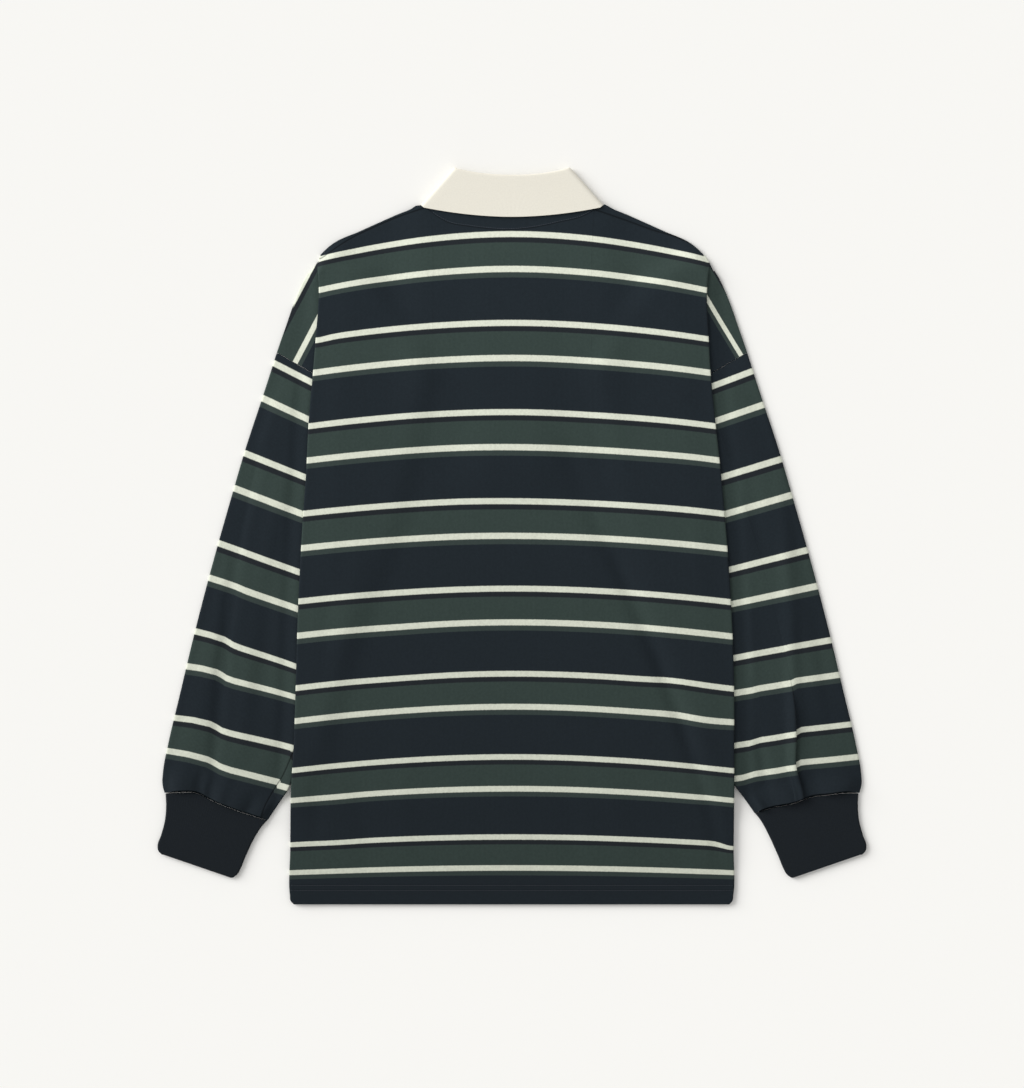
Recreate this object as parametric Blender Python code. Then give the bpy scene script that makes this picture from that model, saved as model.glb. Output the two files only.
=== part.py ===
"""Long-sleeve striped polo shirt, laid flat on its front, back side up.

Sizes are in millimetres and are turned into metres when a mesh is made. X runs across the shirt,
+Y runs from the hem to the collar, and +Z points up from the table. Each cloth piece is a thin
wall, and where pieces lie on each other their layers are counted from the table up.
"""
import bpy
import bmesh
import math
import numpy as np

# Cloth
WALL = 1.2              # heavy jersey
SEAM = 0.3              # space left between two pieces where they are sewn
PITCH = 1.6             # from one layer of cloth to the next
RIB_WALL = 1.8          # knitted rib of the collar and the cuffs
RIB_PITCH = 2.2

# Body, measured from the middle of the photograph
HEM_Y = -387.5
APEX_Y = 286.0          # where the side pleat starts at the shoulder
ARMHOLE_Y = 169.0       # where the armhole seam goes under the side pleat
ARMHOLE_OUT_Y = 191.0   # where the armhole seam meets the outline
UNDERARM = (103.0, 109.0)
GUSSET_SHIFT = 57.0     # how much lower the hidden fold is at the underarm than on the outside
GUSSET_ROOM = 5.0       # the gusset's fold passes this far inside the sleeve
WING_TOP_DROP = 9.0     # where the drop shoulder's edge starts, below the apex
NECK_HALF = 92.0        # neck seam at the shoulder
NECK_Y = 341.5
BACK_NECK_Y = 338.0
FRONT_NECK_Y = 258.0
PLEAT_LIFT = 2 * PITCH  # height that each side pleat adds over and under the sleeve
SLOPE_RUN = 15.0        # how far the sleeve takes to come down to the table beside the body
SLEEVE_OUT_Y = -275.0   # where the sleeve has left the side of the body

# Collar
COLLAR_TOP_Y = 386.4
COLLAR_DIP = 8.6
COLLAR_TOP_HALF = 60.0
COLLAR_LOW_HALF = 95.6
COLLAR_LOW_Y = 346.0
COLLAR_DROP = 12.5      # how much lower the fall's edge is at the middle of the back
LEAF_POINT = (72.0, 222.0)
LEAF_END = (13.0, 266.0)
COLLAR_LIFT = 2.5       # the collar's front leaves lie under the front panel
COLLAR_SEAM = 0.96      # where the neck seam is along the collar's slanted side fold
COLLAR_SEAM_RISE = 2.0  # the stand starts this far above the back's neck edge
LEAF_GAP = 2.6          # and this far from the front's neck edge

# Placket and buttons
PLACKET_HALF = 15.5
PLACKET_LIFT = 2.1
UNDER_STRIP_ROOM = 0.9
BUTTON_RADIUS = 5.6
BUTTON_THICK = 1.7
BUTTON_DISH = 0.35      # depth of the face inside the rim, and height of the rim's rounding
BUTTON_SHOULDER = 1.3
BUTTON_HOLE_RADIUS = 0.8
BUTTON_HOLE_OFFSET = 1.7
BUTTON_FIRST_Y = 240.0
BUTTON_STEP_Y = 56.0
BUTTON_COUNT = 3

# Everything is moved so that its box is centred on Y = 0
CENTRE_Y = (HEM_Y + COLLAR_TOP_Y) / 2

NAVY = (0.018, 0.024, 0.031)
GREEN = (0.038, 0.058, 0.050)
CREAM = (0.79, 0.77, 0.68)
BUTTON_WHITE = (0.75, 0.73, 0.66)


def table(columns, *rows):
    """A short table: its columns by name, each as an array."""
    return dict(zip(columns.split(), np.array(rows, float).T))


# The side pleat's folded edge, half widths from the middle, from hem to shoulder
SIDE = table("y left right",
             (-387.5, 229.0, 228.0), (-384.5, 232.0, 231.0), (-378.0, 233.0, 232.2),
             (-331.0, 232.7, 232.5), (-265.0, 231.6, 233.0), (-224.0, 229.0, 233.0),
             (-160.0, 226.8, 232.8), (-90.0, 224.7, 230.6), (-30.0, 222.0, 227.0),
             (21.0, 219.0, 223.0), (62.0, 216.0, 219.3), (121.0, 213.0, 213.0),
             (173.0, 208.4, 208.0), (206.0, 205.8, 206.2), (258.0, 202.5, 204.5),
             (286.0, 204.0, 207.0))
# The outline from the cuff seam up the sleeve and over the drop shoulder
OUTER = table("y x",
              (-272.0, 364.0), (-262.0, 366.6), (-248.0, 366.2), (-220.0, 361.0),
              (-169.0, 349.0), (-102.0, 333.0), (-35.0, 315.6), (33.0, 296.5),
              (100.0, 276.7), (133.0, 265.7), (167.0, 254.6), (191.0, 247.0),
              (217.0, 238.0), (251.0, 225.8), (268.0, 218.0), (286.0, 207.0))
# The shoulder line from the neck out to the start of the pleat
SHOULDER = table("x y",
                 (92.0, 341.2), (102.0, 341.9), (120.0, 335.0), (139.0, 326.6),
                 (158.0, 318.0), (192.0, 301.0), (207.0, 286.0))
FRONT_NECK = table("x y", (0.0, 258.0), (16.0, 258.0), (40.0, 267.0), (66.0, 291.0),
                   (84.0, 320.0), (92.0, 341.5))
# The sleeve's under edge, most of it hidden between the layers of the side pleat
INNER = table("y x",
              (-301.0, 258.0), (-286.0, 247.0), (-268.0, 239.0), (-240.0, 232.0),
              (-180.0, 212.0), (-80.0, 178.0), (20.0, 142.0), (112.0, 108.0))
# Cross lines of the sleeve: height on the outer edge, and how much lower the inner end is
SLEEVE = table("outer slant",
               (190.6, 79.0), (167.0, 71.0), (120.0, 63.0), (70.0, 57.0), (20.0, 52.0),
               (-35.0, 48.0), (-90.0, 45.0), (-145.0, 40.0), (-190.0, 36.0), (-215.0, 34.5),
               (-236.0, 33.0), (-252.0, 31.0), (-262.0, 29.5), (-270.4, 28.8))
# The rib cuff from its seam to its end: outer and inner edge
CUFF = table("outer_x outer_y inner_x inner_y",
             (363.6, -271.4, 256.8, -299.4), (363.0, -284.0, 263.5, -307.0),
             (364.2, -299.0, 271.5, -320.0), (368.0, -314.0, 279.0, -336.0),
             (372.0, -327.5, 285.8, -352.0), (371.0, -332.0, 288.5, -356.5),
             (367.5, -335.4, 293.0, -359.6))


def smooth(rows, key, column, at):
    """Read a column at a place between its rows along a smooth curve."""
    xs, ys = rows[key], rows[column]
    slopes = np.gradient(ys, xs)
    i = int(np.clip(np.searchsorted(xs, at) - 1, 0, len(xs) - 2))
    step = xs[i + 1] - xs[i]
    t = float(np.clip((at - xs[i]) / step, 0, 1))
    return (ys[i] * (1 + 2 * t) * (1 - t) ** 2 + slopes[i] * step * t * (1 - t) ** 2
            + ys[i + 1] * t * t * (3 - 2 * t) + slopes[i + 1] * step * t * t * (t - 1))


def ramp(value, start, end):
    """Rise softly from 0 at start to 1 at end."""
    t = min(max((value - start) / (end - start), 0.0), 1.0)
    return t * t * (3 - 2 * t)


def lerp(a, b, t):
    return a + (b - a) * t


def material(name, colour, roughness):
    finish = bpy.data.materials.new(name)
    finish.use_nodes = True
    shader = finish.node_tree.nodes["Principled BSDF"]
    shader.inputs["Base Color"].default_value = (*colour, 1)
    shader.inputs["Roughness"].default_value = roughness
    shader.inputs["Metallic"].default_value = 0
    return finish


def wall_object(name, rows, wall, finish, closed=False):
    """Make a thin wall from rows of (point, normal); None leaves a place empty.

    Every point gives one vertex on each side of the cloth. Free edges are closed by a rim.
    """
    bm = bmesh.new()
    sides = []
    for sign in (0.5, -0.5):
        sides.append([[p and bm.verts.new([0.001 * (p[0][k] + sign * wall * p[1][k]
                                                    - (CENTRE_Y if k == 1 else 0))
                                           for k in range(3)]) for p in row] for row in rows])
    over, under = sides
    edges = {}
    count = len(rows[0])
    for i in range(len(rows) - 1):
        for j in range(count if closed else count - 1):
            cell = [(i, j), (i + 1, j), (i + 1, (j + 1) % count), (i, (j + 1) % count)]
            if any(rows[a][b] is None for a, b in cell):
                continue
            bm.faces.new([over[a][b] for a, b in cell])
            bm.faces.new([under[a][b] for a, b in reversed(cell)])
            for start, end in zip(cell, cell[1:] + cell[:1]):
                if (end, start) in edges:
                    del edges[(end, start)]
                else:
                    edges[(start, end)] = True
    for (a, b), (c, d) in edges:
        bm.faces.new([over[c][d], over[a][b], under[a][b], under[c][d]])
    loose = [v for v in bm.verts if not v.link_faces]
    bmesh.ops.delete(bm, geom=loose, context='VERTS')
    bmesh.ops.recalc_face_normals(bm, faces=bm.faces)
    return finished_object(name, bm, finish)


def finished_object(name, bm, finish):
    mesh = bpy.data.meshes.new(name)
    bm.to_mesh(mesh)
    bm.free()
    mesh.materials.append(finish)
    mesh.shade_smooth()
    mesh.set_sharp_from_angle(angle=math.radians(50))
    piece = bpy.data.objects.new(name, mesh)
    bpy.context.collection.objects.link(piece)
    return piece


def side_x(y, side):
    return smooth(SIDE, "y", "right" if side > 0 else "left", y)


def outer_x(y):
    return smooth(OUTER, "y", "x", y)


def inner_x(y):
    return smooth(INNER, "y", "x", y)


def collar_zone(x, y):
    """1 where the collar's leaves lie below the front panel, 0 well away from them."""
    return ramp(y, 60, ARMHOLE_Y) * (1 - ramp(abs(x), 90, 132))


def placket_zone(x, y):
    return ramp(y, 20, 78) * (1 - ramp(abs(x), 20, 75))


def front_lift(x, y):
    """How far the front panel stands off the table."""
    return max(COLLAR_LIFT * collar_zone(x, y), PLACKET_LIFT * placket_zone(x, y))


def inside_gap(x, y):
    """Half of the extra room between front and back: the collar's stand, the under placket."""
    stand = (RIB_PITCH - PITCH) / 2 * collar_zone(x, y)
    strip = UNDER_STRIP_ROOM * placket_zone(x, y) * (1 - ramp(y, 300, 330))
    return max(stand, strip)


def tuck(turn, depth, radius, turn_back, radius_back, steps, steps_back):
    """Path of a fold in the cloth, as (outward, down, normal angle, 1 once under the fold).

    The cloth rolls under by turn, runs depth, then rolls the other way by turn_back.
    """
    path = []
    for k in range(1, steps + 1):
        a = turn * k / steps
        path.append((radius * math.sin(a), radius * (1 - math.cos(a)), a, 0.0))
    x = path[-1][0] + depth * math.cos(turn)
    down = path[-1][1] + depth * math.sin(turn)
    path.append((x, down, turn, 1.0))
    for k in range(1, steps_back + 1):
        a = turn - turn_back * k / steps_back
        path.append((x + radius_back * (math.sin(turn) - math.sin(a)),
                     down + radius_back * (math.cos(a) - math.cos(turn)), a, 1.0))
    return path


# Rows of the body by the height of their end at the side, from the shoulder to the hem
WING_ROWS = [APEX_Y - (APEX_Y - ARMHOLE_Y) * t for t in (0, 0.07, 0.14, 0.22, 0.34, 0.5, 0.73, 1)]
LOWER_ROWS = [104, 82, 52, 15, -40, -95, -150, -205, -240, -262, -278, -296, -320, -350, -378,
              -384.5, -387.5]
COLUMNS = (0.0, 0.07, 0.22, 0.38, 0.54, 0.68, 0.81, 0.92, 1.0)
ROUND_STEPS = 3         # faces round a fold
SEAM_ROUND = 3          # faces round the shoulder seam
SLOT_ROWS = len(WING_ROWS) + SEAM_ROUND
NECK_STEP = 0.5         # depth of each of the same rows along the neck edge
SHOULDER_FALL = (0.42, 0.91)    # direction in plan straight off the shoulder line


def side_fold(y, side):
    """The fold at the side of the body: its turn, depth and return at a height."""
    edge = side_x(y, side) - WALL / 2 - PITCH / 2
    if y >= ARMHOLE_Y:
        t = (APEX_Y - y) / (APEX_Y - ARMHOLE_Y)
        turn = math.pi * max(ramp(t, -0.06, 0.16), 0.12)
        line_x = lerp(edge, UNDERARM[0], t)
        depth = 0.6 + (edge - line_x) * ramp(t, 0.10, 0.30)
        drop = PITCH * (1 - math.cos(turn)) + depth * math.sin(turn)
        fold_y = lerp(y, lerp(APEX_Y, UNDERARM[1], t), ramp(t, 0.07, 0.4))
        return dict(edge=edge, turn=turn, depth=depth, back=turn, radius=PITCH / 2,
                    half=PITCH / 2 + drop, lift=drop, y=fold_y)
    shift = GUSSET_SHIFT * ramp(y, 0, ARMHOLE_Y)
    depth = max(edge - inner_x(y - shift) + GUSSET_ROOM, SEAM)
    depth = lerp(SEAM, depth, ramp(y, -300, -262))
    layers = 2 * ramp(y, -305, SLEEVE_OUT_Y)
    extra = math.pi / 2 * ramp(y, -372, -300)
    radius = (1 + layers) / 2 * PITCH - SEAM / 2
    half = (PITCH / 2 * (1 + math.sin(extra)) + depth * math.cos(extra)
            + radius * math.sin(extra) + SEAM / 2)
    return dict(edge=edge, turn=math.pi / 2 + extra, depth=depth, back=extra, radius=radius,
                half=half, lift=0.0, y=y - shift)


def half_row(y, side, neck):
    """One row of half a panel, from the middle out.

    Each point is x, y, the height of the plane between front and back, the offset from it,
    the tilt of the normal and the direction in plan of that tilt.
    """
    fold = side_fold(y, side)
    row = []
    inner = fold["edge"] - fold["depth"]
    for c in COLUMNS:
        x = PLACKET_HALF if c == COLUMNS[1] else c * fold["edge"]
        row_y = y
        if y > ARMHOLE_Y and c < 1:
            row_y = lerp(neck(x), ARMHOLE_Y, (APEX_Y - y) / (APEX_Y - ARMHOLE_Y))
        rise = (fold["half"] - PITCH / 2) * ramp(x, inner - 38, inner - 6)
        half = PITCH / 2 + rise + inside_gap(x, row_y)
        row.append((x, row_y, WALL / 2 + half + front_lift(x, row_y), half, 0.0, (1.0, 0.0)))
    middle = WALL / 2 + fold["half"]
    steps_back = 2 * ROUND_STEPS if y >= ARMHOLE_Y else ROUND_STEPS
    for out, down, angle, under in tuck(fold["turn"], fold["depth"], PITCH / 2, fold["back"],
                                        fold["radius"], ROUND_STEPS, steps_back):
        row.append((fold["edge"] + out, lerp(y, fold["y"], under), middle,
                    fold["half"] - down, angle, (1.0, 0.0)))
    if y >= ARMHOLE_Y:
        row += wing(y, side, fold, row[-1])
    return row


def wing(y, side, fold, start):
    """The drop shoulder: from the hidden fold out to the shoulder seam at the silhouette."""
    t = (APEX_Y - y) / (APEX_Y - ARMHOLE_Y)
    end_y = lerp(APEX_Y - WING_TOP_DROP, ARMHOLE_OUT_Y, t)
    end_x = outer_x(end_y) - WALL / 2 - PITCH / 2
    points = []
    cover = side_x(y, side)
    for u in (0.3, 0.62, 0.8, 1.0):
        x = lerp(start[0], end_x, u)
        lift = fold["lift"] * (1 - ramp(x - cover, 1, 1 + SLOPE_RUN))
        points.append((x, lerp(start[1], end_y, u), WALL / 2 + PITCH / 2 + lift, PITCH / 2, 0.0,
                       (1.0, 0.0)))
    radius = (PITCH - SEAM) / 2
    low = points[-1][2]
    for k in range(1, SEAM_ROUND + 1):
        a = math.pi / 2 * k / SEAM_ROUND
        points.append((end_x + PITCH / 2 * math.sin(a), end_y, low,
                       PITCH / 2 - radius * (1 - math.cos(a)), a, (1.0, 0.0)))
    return points


def back_neck(x):
    if x < NECK_HALF:
        return BACK_NECK_Y + (NECK_Y - BACK_NECK_Y) * (x / NECK_HALF) ** 2
    return smooth(SHOULDER, "x", "y", x)


def front_neck(x):
    if x < NECK_HALF:
        return smooth(FRONT_NECK, "x", "y", x)
    return smooth(SHOULDER, "x", "y", x)


def panel(name, face, neck, finish, slot_rows=0):
    """A front or back panel. face is 1 for the panel on top and -1 for the one on the table."""
    heights = WING_ROWS + LOWER_ROWS
    halves = {}
    for side in (-1, 1):
        rows = [half_row(y, side, neck) for y in heights]
        halves[side] = shoulder_rounding(rows[0]) + rows
    full = []
    width = max(len(row) for row in halves[1])
    for i in range(len(halves[1])):
        line = []
        for side in (-1, 1):
            points = []
            for x, y, middle, offset, angle, (along, up) in halves[side][i]:
                place = (side * x, y, middle + face * offset)
                tilt = math.sin(angle)
                normal = (side * along * tilt, up * tilt, face * math.cos(angle))
                points.append((place, normal))
            points += [None] * (width - len(points))
            if i < slot_rows:
                points[0] = None
            line = points[::-1] if side < 0 else line + points[1:]
        full.append(line)
    return wall_object(name, full, WALL, finish)


def shoulder_rounding(first):
    """Rows that roll the shoulder edge down to its seam; the neck edge stays flat."""
    rows = []
    for k in range(SEAM_ROUND, 0, -1):
        a = math.pi / 2 * k / SEAM_ROUND
        row = []
        for x, y, middle, offset, _, _ in first[:len(COLUMNS)]:
            roll = ramp(x, NECK_HALF - 2, NECK_HALF + 8)
            reach = lerp(NECK_STEP * k, PITCH / 2 * math.sin(a), roll)
            down = roll * (offset - SEAM / 2) * (1 - math.cos(a))
            row.append((x + roll * SHOULDER_FALL[0] * reach, y + SHOULDER_FALL[1] * reach, middle,
                        offset - down, roll * a, SHOULDER_FALL))
        rows.append(row)
    return rows


def sleeve_middle(x, y, side):
    """Height of the plane between a sleeve's two layers: over the pleat, then on the table."""
    lift = PLEAT_LIFT * (1 - ramp(x - side_x(y, side), 1, 1 + SLOPE_RUN))
    return WALL / 2 + PITCH / 2 + lift * ramp(y, -318, SLEEVE_OUT_Y)


# Folds at the end of each sleeve: place across it, width and height of the ridge, and its length
GATHERS = {
    -1: table("across width height length",
              (0.25, 0.05, 1.6, 70.0), (0.47, 0.06, 1.8, 95.0), (0.70, 0.05, 1.0, 40.0),
              (0.88, 0.04, 0.9, 55.0)),
    1: table("across width height length",
             (0.33, 0.05, 1.8, 45.0), (0.56, 0.05, 0.8, 60.0), (0.82, 0.05, 1.6, 45.0),
             (0.93, 0.04, 0.9, 30.0)),
}
KNIFE_PLEAT = dict(side=1, place=0.52, depth=6.0, start=0.70, full=0.86)
SLEEVE_COLUMNS = (0.0, 0.14, 0.28, 0.40, 0.52, 0.64, 0.82)
SLEEVE_LOFT = 1.2


def gather_height(side, across, to_seam):
    rows = GATHERS[side]
    total = 0.0
    for place, width, height, length in zip(rows["across"], rows["width"], rows["height"],
                                            rows["length"]):
        total += height * math.exp(-((across - place) / width) ** 2) * (1 - ramp(to_seam, 0, length))
    return total


def sleeve_loop(k, side):
    """One closed ring of the sleeve's wall, from the outer edge over the top and back under."""
    s = k / (len(SLEEVE["outer"]) - 1)
    out_y = SLEEVE["outer"][k]
    in_y = out_y - SLEEVE["slant"][k]
    inset = WALL / 2 + PITCH / 2
    outer = np.array((outer_x(out_y) - inset, out_y))
    inner = np.array((inner_x(in_y) + inset, in_y))
    to_seam = out_y - SLEEVE["outer"][-1]
    pitch = lerp(PITCH, RIB_PITCH, 1 - ramp(to_seam, 0, 30))
    loop = []

    def add(across, out, rise, angle, loft):
        place = lerp(outer, inner, across)
        x = place[0] + out
        middle = sleeve_middle(x, place[1], side) + (pitch - PITCH) / 2
        loop.append(((side * x, place[1], middle + rise + loft),
                     (side * math.sin(angle), 0.0, math.cos(angle))))

    def loft(across):
        place = lerp(outer, inner, across)
        free = ramp(place[0] - side_x(place[1], side), 8, 30) * ramp(s, 0.0, 0.1)
        swell = SLEEVE_LOFT * math.sin(math.pi * across)
        return free * (swell + gather_height(side, across, to_seam))

    covered, free = sleeve_cover(outer, inner, side)
    slope = [free, lerp(free, covered, 0.5), covered, lerp(covered, 1.0, 0.5), 1.0]
    for part in SLEEVE_COLUMNS:
        across = part * free
        if side == KNIFE_PLEAT["side"] and part == KNIFE_PLEAT["place"]:
            for point in knife_pleat(s, across, np.linalg.norm(inner - outer)):
                add(point[0], 0.0, pitch / 2 + point[1], point[2], loft(across))
        else:
            add(across, 0.0, pitch / 2, 0.0, loft(across))
    for across in slope:
        add(across, 0.0, pitch / 2, 0.0, loft(across) if across < 1 else 0.0)
    for k_round in (1, 2):
        a = math.pi * k_round / 3
        add(1.0, -pitch / 2 * math.sin(a), pitch / 2 * math.cos(a), -a, 0.0)
    for across in slope[::-1] + [0.5 * free, 0.0]:
        add(across, 0.0, -pitch / 2, math.pi, 0.0)
    for k_round in (1, 2):
        a = math.pi - math.pi * k_round / 3
        add(0.0, pitch / 2 * math.sin(a), pitch / 2 * math.cos(a), a, 0.0)
    return loop


def sleeve_cover(outer, inner, side):
    """How far across the sleeve the body's edge is, and where the sleeve has reached the table."""
    found = []
    for beyond in (1.0, 1.0 + SLOPE_RUN):
        low, high = 0.0, 1.0
        for _ in range(20):
            half = (low + high) / 2
            x, y = lerp(outer, inner, half)
            if x > side_x(y, side) + beyond:
                low = half
            else:
                high = half
        found.append(low)
    return min(found[0], 0.97), min(found[1], 0.90)


def knife_pleat(s, across, width):
    """Points of the pleat across the sleeve, from the covered side out of it to the top side."""
    turn = math.pi * max(ramp(s, KNIFE_PLEAT["start"], KNIFE_PLEAT["full"]), 0.06)
    depth = 0.4 + KNIFE_PLEAT["depth"] * ramp(s, KNIFE_PLEAT["start"] + 0.06, 1.0)
    path = tuck(turn, depth, PITCH / 2, turn, PITCH / 2, ROUND_STEPS, ROUND_STEPS)
    drop = path[-1][1]
    points = [(across - out / width, drop - down, angle)
              for out, down, angle, _ in reversed(path)]
    points.append((across, drop, 0.0))
    points.append((across + 0.04, drop * 0.75, 0.0))
    return points


def sleeve(name, side, finish):
    loops = [sleeve_loop(k, side) for k in range(len(SLEEVE["outer"]))]
    return wall_object(name, loops, WALL, finish, closed=True)


def cuff(name, side, finish):
    """The rib cuff: a tube pressed flat, round at both edges."""
    loops = []
    inset = RIB_WALL / 2 + RIB_PITCH / 2
    for outer_x_end, outer_y_end, inner_x_end, inner_y_end in zip(*(CUFF[c] for c in CUFF)):
        outer = np.array((outer_x_end - inset, outer_y_end))
        inner = np.array((inner_x_end + inset, inner_y_end))
        loop = []
        for across in (0.0, 0.2, 0.4, 0.6, 0.8, 1.0):
            x, y = lerp(outer, inner, across)
            loop.append(((side * x, y, RIB_WALL / 2 + RIB_PITCH), (0.0, 0.0, 1.0)))
        for turn in (1, 2):
            a = math.pi * turn / 3
            loop.append(((side * (inner[0] - RIB_PITCH / 2 * math.sin(a)), inner[1],
                          RIB_WALL / 2 + RIB_PITCH / 2 * (1 + math.cos(a))),
                         (-side * math.sin(a), 0.0, math.cos(a))))
        for across in (1.0, 0.75, 0.5, 0.25, 0.0):
            x, y = lerp(outer, inner, across)
            loop.append(((side * x, y, RIB_WALL / 2), (0.0, 0.0, -1.0)))
        for turn in (2, 1):
            a = math.pi * turn / 3
            loop.append(((side * (outer[0] + RIB_PITCH / 2 * math.sin(a)), outer[1],
                          RIB_WALL / 2 + RIB_PITCH / 2 * (1 + math.cos(a))),
                         (side * math.sin(a), 0.0, math.cos(a))))
        loops.append(loop)
    return wall_object(name, loops, RIB_WALL, finish, closed=True)


STAND_LEVEL = RIB_PITCH / 2             # the stand's layer from the collar's middle plane
FALL_LEVEL = STAND_LEVEL + RIB_PITCH    # the fall's layer, outside the stand
COLLAR_MIDDLE = RIB_WALL / 2 + FALL_LEVEL


def collar_section(neck, roll, edge, face):
    """Points across the collar: up the stand, round the roll and down the fall.

    face is the direction, in plan and height, in which the fall lies over the stand.
    """
    neck, roll, edge, face = (np.array(p, float) for p in (neck, roll, edge, face))
    up = roll - edge
    up = np.array((*(up[:2] / np.linalg.norm(up[:2])), 0.0))
    points = []
    for t in (0.0, 0.5, 1.0):
        points.append((lerp(neck, roll, t) + face * STAND_LEVEL, -face))
    for k in (1, 2, 3):
        b = math.pi * k / 4
        level = STAND_LEVEL + RIB_PITCH / 2 * (1 - math.cos(b))
        points.append((roll + up * RIB_PITCH / 2 * math.sin(b) + face * level,
                       up * math.sin(b) - face * math.cos(b)))
    for t in (0.0, 0.3, 0.65, 1.0):
        points.append((lerp(roll, edge, t) + face * FALL_LEVEL, face))
    return [(tuple(place), tuple(normal)) for place, normal in points]


def collar_half():
    """Sections from the middle of the back, round the slanted side fold, to the front end."""
    reach = FALL_LEVEL + RIB_WALL / 2
    line = np.array((COLLAR_LOW_HALF - COLLAR_TOP_HALF, COLLAR_LOW_Y - COLLAR_TOP_Y))
    out = np.array((-line[1], line[0])) / np.linalg.norm(line)
    top = np.array((COLLAR_TOP_HALF, COLLAR_TOP_Y)) - out * reach
    top = top + line / np.linalg.norm(line) * (RIB_PITCH + RIB_WALL) / 2
    low = np.array((COLLAR_LOW_HALF, COLLAR_LOW_Y)) - out * reach
    seam = lerp(top, low, COLLAR_SEAM)
    sections = []
    for a in (0.0, 0.25, 0.5, 0.75, 1.0):
        neck = (seam[0] * a, lerp(BACK_NECK_Y + COLLAR_SEAM_RISE, seam[1], a * a), COLLAR_MIDDLE)
        roll = (top[0] * a, lerp(COLLAR_TOP_Y - COLLAR_DIP - 2.0, top[1] + 0.6, a * a),
                COLLAR_MIDDLE)
        edge = (low[0] * a, lerp(COLLAR_LOW_Y - COLLAR_DROP, low[1], a * a), COLLAR_MIDDLE)
        sections.append(collar_section(neck, roll, edge, (0, 0, 1)))
    for k in range(1, 6):
        a = math.pi / 2 - math.pi * k / 6
        face = (out[0] * math.cos(a), out[1] * math.cos(a), math.sin(a))
        sections.append(collar_section((*seam, COLLAR_MIDDLE), (*top, COLLAR_MIDDLE),
                                       (*low, COLLAR_MIDDLE), face))
    first_edge = side_fold(APEX_Y, 1)["edge"]
    corners = [PLACKET_HALF] + [c * first_edge for c in COLUMNS[2:5]]
    for b in (0.0, 0.25, 0.5, 0.75, 1.0):
        neck_x = lerp(seam[0], PLACKET_HALF + 1.5, b)
        edge_y = np.interp(neck_x, corners, [front_neck(x) for x in corners])
        neck = (neck_x, edge_y + LEAF_GAP if b else seam[1], COLLAR_MIDDLE)
        roll = (*lerp(top, np.array(LEAF_END), b), COLLAR_MIDDLE)
        edge = (*lerp(low, np.array(LEAF_POINT), b), COLLAR_MIDDLE)
        sections.append(collar_section(neck, roll, edge, (0, 0, -1)))
    return sections


def collar(name, finish):
    half = collar_half()
    other = [[((-p[0], p[1], p[2]), (-n[0], n[1], n[2])) for p, n in row] for row in half]
    return wall_object(name, other[:0:-1] + half, RIB_WALL, finish)


def placket_strip(name, half_width, low_y, level, finish):
    """A strip of the placket, following the front panel at its own level."""
    rows = []
    for y in np.linspace(FRONT_NECK_Y - 1.0, low_y, 7):
        row = []
        for x in (-half_width, 0.0, half_width):
            z = WALL / 2 + front_lift(x, y) + level
            row.append(((x, y, z), (0.0, 0.0, 1.0)))
        rows.append(row)
    return wall_object(name, rows, WALL, finish)


def button(name, y, finish):
    """A four-hole button lying face down, its rim thicker than its middle."""
    bm = bmesh.new()
    profile = [(0.0, BUTTON_DISH), (0.62, BUTTON_DISH), (0.76, 0.0), (0.94, 0.0),
               (1.0, BUTTON_DISH), (1.0, BUTTON_SHOULDER), (0.9, BUTTON_THICK),
               (0.0, BUTTON_THICK)]
    verts = [bm.verts.new((0.001 * BUTTON_RADIUS * r, 0, 0.001 * z)) for r, z in profile]
    edges = [bm.edges.new(pair) for pair in zip(verts, verts[1:])]
    bmesh.ops.spin(bm, geom=verts + edges, axis=(0, 0, 1), cent=(0, 0, 0), angle=2 * math.pi,
                   steps=12, use_merge=False, use_duplicate=False)
    bmesh.ops.remove_doubles(bm, verts=bm.verts, dist=0.00001)
    bmesh.ops.recalc_face_normals(bm, faces=bm.faces)
    piece = finished_object(name, bm, finish)
    piece.location = (0.0, 0.001 * (y - CENTRE_Y), 0.0)
    drill = bmesh.new()
    for sx in (-1, 1):
        for sy in (-1, 1):
            hole = bmesh.ops.create_cone(drill, cap_ends=True, segments=6, depth=0.006,
                                         radius1=0.001 * BUTTON_HOLE_RADIUS,
                                         radius2=0.001 * BUTTON_HOLE_RADIUS)
            shift = (0.001 * BUTTON_HOLE_OFFSET * sx, 0.001 * BUTTON_HOLE_OFFSET * sy, 0.001)
            bmesh.ops.translate(drill, verts=hole["verts"], vec=shift)
    cutter = finished_object(name + "_holes", drill, finish)
    cutter.location = piece.location
    cutter.hide_render = True
    cutter.display_type = 'WIRE'
    cut = piece.modifiers.new("holes", 'BOOLEAN')
    cut.operation = 'DIFFERENCE'
    cut.object = cutter
    return piece


for old in list(bpy.data.objects):
    bpy.data.objects.remove(old)

jersey = material("jersey", NAVY, 0.9)
sleeve_jersey = material("sleeve_jersey", GREEN, 0.9)
rib = material("rib", NAVY, 0.95)
collar_knit = material("collar_knit", CREAM, 0.9)
placket_cloth = material("placket_cloth", CREAM, 0.9)
button_finish = material("button_finish", BUTTON_WHITE, 0.35)

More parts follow.
